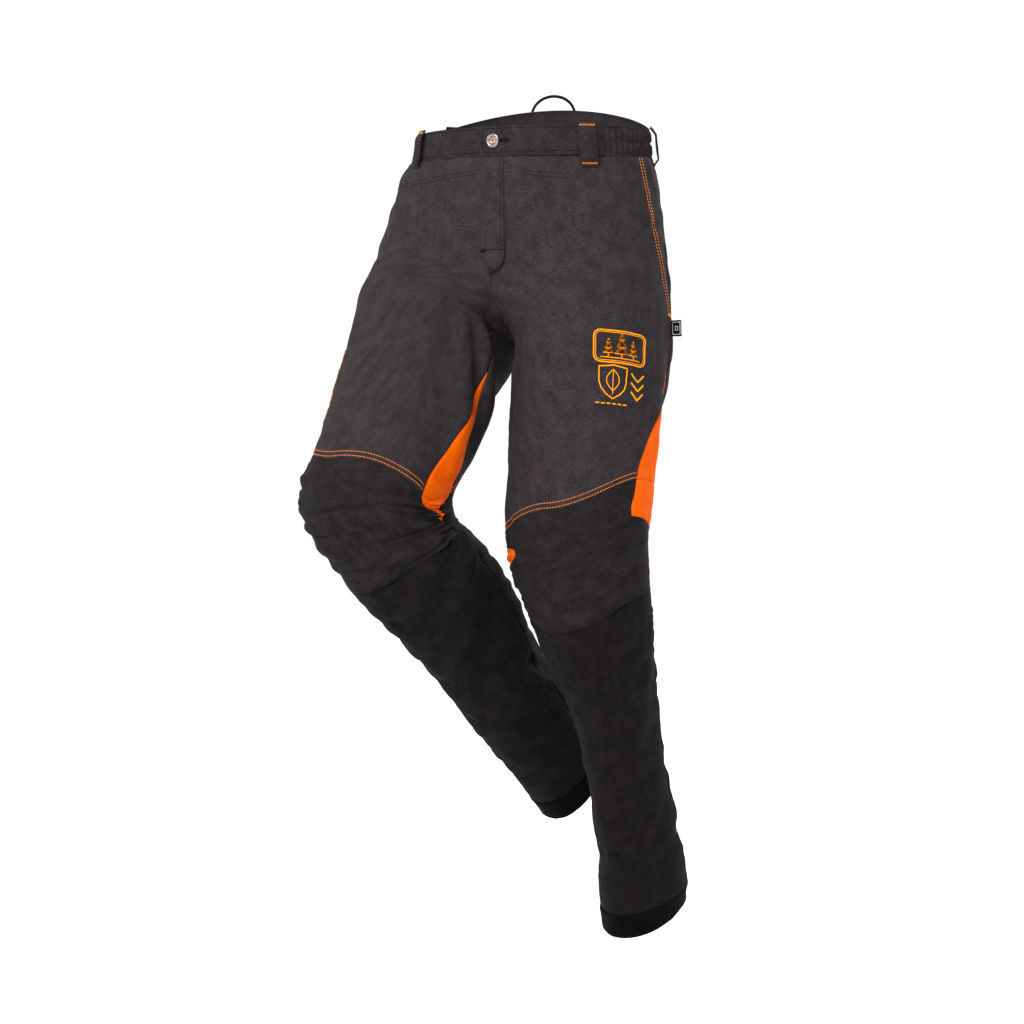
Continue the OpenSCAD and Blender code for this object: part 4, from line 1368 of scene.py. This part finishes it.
def turned_piece(name, profile, body, shade, count=48):
    """A piece turned about the button's axis from (radius, forward) pairs."""
    t = np.arange(count) * 2 * np.pi / count
    points, faces = [], []
    for radius, forward in profile:
        points += [BUTTON + [radius * math.cos(k), -forward, radius * math.sin(k)] for k in t]
    for i in range(len(profile) - 1):
        for k in range(count):
            m = (k + 1) % count
            faces.append([i * count + k, i * count + m, (i + 1) * count + m, (i + 1) * count + k])
    faces += [list(range(count))[::-1], [(len(profile) - 1) * count + k for k in range(count)]]
    return rides(new_object(name, points, faces, shade, "button_metal"), body)


turned_piece("button_rim", [(0.0078, 0.0018), (0.0090, 0.0020), (0.0092, 0.0028), (0.0088, 0.0036),
                            (0.0079, 0.0040), (0.0068, 0.0038), (0.0060, 0.0030), (0.0058, 0.0024)],
             "waist_button", "steel")
turned_piece("button_centre", [(0.0049, 0.0010), (0.0049, 0.0021), (0.0044, 0.0026), (0.0026, 0.0022),
                               (0.0008, 0.0026)], "waist_button", "copper")
hole = np.linspace(0, 360, 60)
eye = fly_at(0.0235 + 0.0095 * cosd(hole), -0.019 + 0.0021 * sind(hole), 0.0037)
rides(thread("buttonhole", stitches_on(eye, ahead(60, 0.1), 0.0011, 0.0001, 0.0006)), "waist")
# The slit is a near-black tube on the shell cloth: painted shade for the dark gap of the cut buttonhole.
slit = tube(fly_at(np.linspace(0.016, 0.031, 8), np.full(8, -0.019), 0.0034), 0.0009, ahead(8, 0.1), 0.5, 6)
rides(new_object("buttonhole_slit_painted_shade", *slit, "label", "shell_cloth"), "waist")

# ---------------------------------------------------------------- back pocket
def level(z):
    """Row, as a function of leg angle, that lies at one height on the right half of the seat."""
    def row(a):
        top, low = cloth_at("right", a, 0.0)[..., 2], cloth_at("right", a, float(ROW_LEG))[..., 2]
        return ROW_LEG * (z - top) / (low - top)
    return row


pocket_cols = [at(float(leg_of_waist("right", 244.0) + 360)), at(float(leg_of_waist("right", 214.0) + 360))]
pocket = panel("back_pocket", "right", pocket_cols, (22,), [level(-0.044), level(-0.134)], (26,), "shell",
               "shell_cloth", out=0.0022, thick=0.0016, depth=0.0014)
as_sheet(rides(pocket, "waist", "back_pocket"))
flap = panel("back_pocket_flap", "right", [at(273.4), at(309.2)], (24,),
             [level(-0.0295), level(-0.069)], (16,), "shell", "shell_cloth", out=0.0052, thick=0.0016,
             depth=0.0014)
as_sheet(rides(flap, "back_pocket_flap", "back_pocket_flap"))
t = np.linspace(0, 1, 60)
rows = []
for inset in (1.6, 3.6):
    for col, sign in ((274.6, 1), (308.2, -1)):
        side_a = at(col + sign * inset)(t)
        rows += stitch_row("right", side_a, level(mix(-0.071, -0.131, t))(side_a), out=0.0024)
    low_a = mix(276.5, 306.0, t)
    rows += stitch_row("right", low_a, level(0.0016 * inset - 0.134)(low_a), out=0.0024)
rides(thread("back_pocket_stitching", rows), "waist")
flap_a = mix(274.6, 308.0, t)
rows = []
for z in (-0.0330, -0.0655):
    rows += stitch_row("right", flap_a, level(z)(flap_a), out=0.0054)
rides(thread("back_pocket_flap_stitching", rows), "back_pocket_flap")


# ---------------------------------------------------------------- embroidery and label
def on_thigh(side, a0, s0, x, y, lift=0.0007):
    """Points of a flat drawing wrapped on a thigh: x to the viewer's right, y down, in metres."""
    x, y = np.broadcast_arrays(np.asarray(x, float), np.asarray(y, float))
    a = a0 - (1 if side == "left" else -1) * x / 0.00183
    r = thigh_row(side, a, s0 + y)
    return skin(side, a, r, lift), normal_at(side, a, r)


def drawn(side, a0, s0, points, radius, close=True):
    """A line of thread through drawn points."""
    points = np.asarray(points, float)
    ring = np.concatenate([points, points[:1]]) if close else points
    d = np.concatenate([[0], np.cumsum(np.linalg.norm(np.diff(ring, axis=0), axis=-1))])
    t = np.linspace(0, d[-1], max(8, int(d[-1] / 0.0014)), endpoint=not close)
    x, y = np.interp(t, d, ring[:, 0]), np.interp(t, d, ring[:, 1])
    path, normal = on_thigh(side, a0, s0, x, y)
    return [tube(path, radius, normal, 0.45, 6, close)]


def satin(side, a0, s0, centre, half, top, low, pitch=0.0008):
    """An area filled with back-and-forth thread, from the centre and half width at each height."""
    y = np.arange(top, low, pitch)
    x = centre(y) + half(y) * np.where(np.arange(len(y)) % 2 == 0, -1, 1)
    path, normal = on_thigh(side, a0, s0, x, y)
    return [tube(path, 0.00060, normal, 0.8, 5)]


def rounded(cx, cy, w, h, r):
    """Outline of a rectangle with rounded corners."""
    points = []
    for k, (x, y) in enumerate(((1, 1), (-1, 1), (-1, -1), (1, -1))):
        for turn in np.linspace(0, 90, 6) + 90 * k:
            points.append((cx + x * (w / 2 - r) + r * cosd(turn), cy + y * (h / 2 - r) + r * sind(turn)))
    return points


def tree_half(base, height, half):
    """Half width of a conifer in three tiers, at each height."""
    def width(y):
        t = (y - (base - height)) / height * 3
        tier = np.floor(t) / 2
        return half * (0.35 * tier + 0.65 * (t - np.floor(t)) * (0.6 + 0.4 * tier) + 0.04)
    return width


# The badge on the left thigh: three conifers in a frame, a shield with a leaf, chevrons and dashes
BADGE = ("left", 37.5, 0.1955)
art = drawn(*BADGE, rounded(0, -0.034, 0.072, 0.042, 0.009), 0.0010)
art += drawn(*BADGE, rounded(0, -0.034, 0.067, 0.037, 0.007), 0.0005)
BASE = -0.024
for cx, height, half in ((-0.017, 0.020, 0.0075), (0.0, 0.028, 0.0095), (0.017, 0.020, 0.0075)):
    art += satin(*BADGE, at(cx), tree_half(BASE, height, half), BASE - height, BASE - 0.0002)
    art += satin(*BADGE, at(cx), at(0.0011), BASE, BASE + 0.004)
art += drawn(*BADGE, [(-0.027, -0.0192), (0.027, -0.0192)], 0.0007, False)
MIDDLE = -0.0106
shield = [(-0.029, -0.007), (-0.019, -0.008), (MIDDLE, -0.0095), (-0.002, -0.008), (0.0075, -0.007),
          (0.0075, 0.012), (0.005, 0.021), (-0.001, 0.028), (MIDDLE, 0.034), (-0.020, 0.028),
          (-0.026, 0.021), (-0.029, 0.012)]
art += drawn(*BADGE, shield, 0.0009)
leaf = []
for half in (0.0085, -0.0085):
    for t in np.linspace(-1, 1, 20) * np.sign(half):
        leaf.append((MIDDLE + half * (1 - t * t) ** 1.2, 0.010 + 0.014 * t))
art += drawn(*BADGE, leaf, 0.0007)
art += drawn(*BADGE, [(MIDDLE, -0.002), (MIDDLE, 0.028)], 0.0006, False)
for y in (0.002, 0.014, 0.026):
    art += drawn(*BADGE, [(0.0145, y - 0.004), (0.0250, y + 0.006), (0.0355, y - 0.004)], 0.0012, False)
for x in np.arange(-0.033, 0.012, 0.0075):
    art += drawn(*BADGE, [(x, 0.0405), (x + 0.0052, 0.0405)], 0.0009, False)
upper(thread("thigh_badge", art, "satin_orange"), "left", "thigh_badge")


def slanted(start):
    """Centre line of a slanted bar."""
    return lambda y: -0.006 + 0.30 * (y - start)


bars = []
for y in (-0.045, -0.015, 0.015, 0.045):
    bars += satin("right", 47.0, LEGS["right"].thigh_l - 0.172, slanted(y), at(0.010), y, y + 0.017)
upper(thread("thigh_stripes_right", bars, "satin_orange"), "right")

# The side label, sewn into the left side seam, with a plain double border on both faces
t, u = np.meshgrid(np.linspace(0, 1, 9), np.linspace(0, 1, 9), indexing="ij")
root_r = thigh_row("left", at(OUTER_SEAM)(t), 0.094 + 0.025 * t)
root = skin("left", at(OUTER_SEAM)(t), root_r, -0.0004)
away = unit(normal_at("left", at(OUTER_SEAM)(t), root_r) + np.array([0.25, -0.45, 0.0]))
face = unit(np.cross(away, np.broadcast_to([0.0, 0.0, 1.0], away.shape)))
curl = 0.0018 * np.sin(u * 2.6)
outer = root + away * (0.0150 * u)[..., None] - face * curl[..., None]
tag = cloth_piece("side_label", outer, outer + face * 0.0009, np.ones((8, 8), bool), True, "label", "label")
as_sheet(upper(tag, "left", "side_label"))
lines = []
for inset in (0.12, 0.37):
    corner = [(inset, inset), (1 - inset, inset), (1 - inset, 1 - inset), (inset, 1 - inset),
              (inset, inset)]
    for (t0, u0), (t1, u1) in zip(corner, corner[1:]):
        w = np.linspace(0, 1, 8)
        tt, uu = mix(t0, t1, w) * 8, mix(u0, u1, w) * 8
        i, j = np.round(tt).astype(int), np.round(uu).astype(int)
        for off, front in ((-0.0002, -1), (0.0011, 1)):
            lines.append(tube(outer[i, j] + face[i, j] * off, 0.0006, front * face[i, j], 0.6, 5))
upper(thread("side_label_border", lines, "white_thread", "label"), "left")


# ---------------------------------------------------------------- stage, light and camera
def stage_and_camera():
    mesh = bpy.data.meshes.new("floor")
    mesh.from_pydata([(-9, -9, -1.14), (9, -9, -1.14), (9, 9, -1.14), (-9, 9, -1.14)], [], [(0, 1, 2, 3)])
    solid_material("floor", (0.95, 0.95, 0.95, 1), 0.9)
    mesh.materials.append(SHADES["floor"])
    floor = bpy.data.objects.new("floor", mesh)
    bpy.context.scene.collection.objects.link(floor)
    world = bpy.data.worlds.new("studio")
    bpy.context.scene.world = world
    world.use_nodes = True
    colour, strength = world.node_tree.nodes["Background"].inputs[:2]
    colour.default_value, strength.default_value = (1, 1, 1, 1), 1.05
    for name, spot, size, power in (("key", (0.4, -2.9, 1.9), 1.5, 190),
                                    ("side", (-2.6, -1.0, 0.8), 1.2, 26),
                                    ("back", (0.2, 2.8, 1.6), 1.6, 110)):
        light = bpy.data.lights.new(name, "AREA")
        light.energy, light.size = power, size
        lamp = bpy.data.objects.new(name, light)
        bpy.context.scene.collection.objects.link(lamp)
        lamp.location = spot
        lamp.rotation_euler = (Vector((0, 0, -0.5)) - Vector(spot)).to_track_quat("-Z", "Y").to_euler()
    camera = bpy.data.objects.new("camera", bpy.data.cameras.new("camera"))
    bpy.context.scene.collection.objects.link(camera)
    turn = math.radians(30)
    right = Vector((math.cos(turn), math.sin(turn), 0))
    ahead = Vector((-math.sin(turn), math.cos(turn), 0))
    camera.location = -3.5 * ahead - 0.028 * right + Vector((0, 0, -0.318))
    aim = -0.028 * right + Vector((0, 0, -0.508))
    camera.rotation_euler = (aim - camera.location).to_track_quat("-Z", "Y").to_euler()
    camera.data.lens, camera.data.sensor_width = 91.2, 36
    bpy.context.scene.camera = camera
    bpy.context.scene.view_settings.view_transform = "Standard"


stage_and_camera()
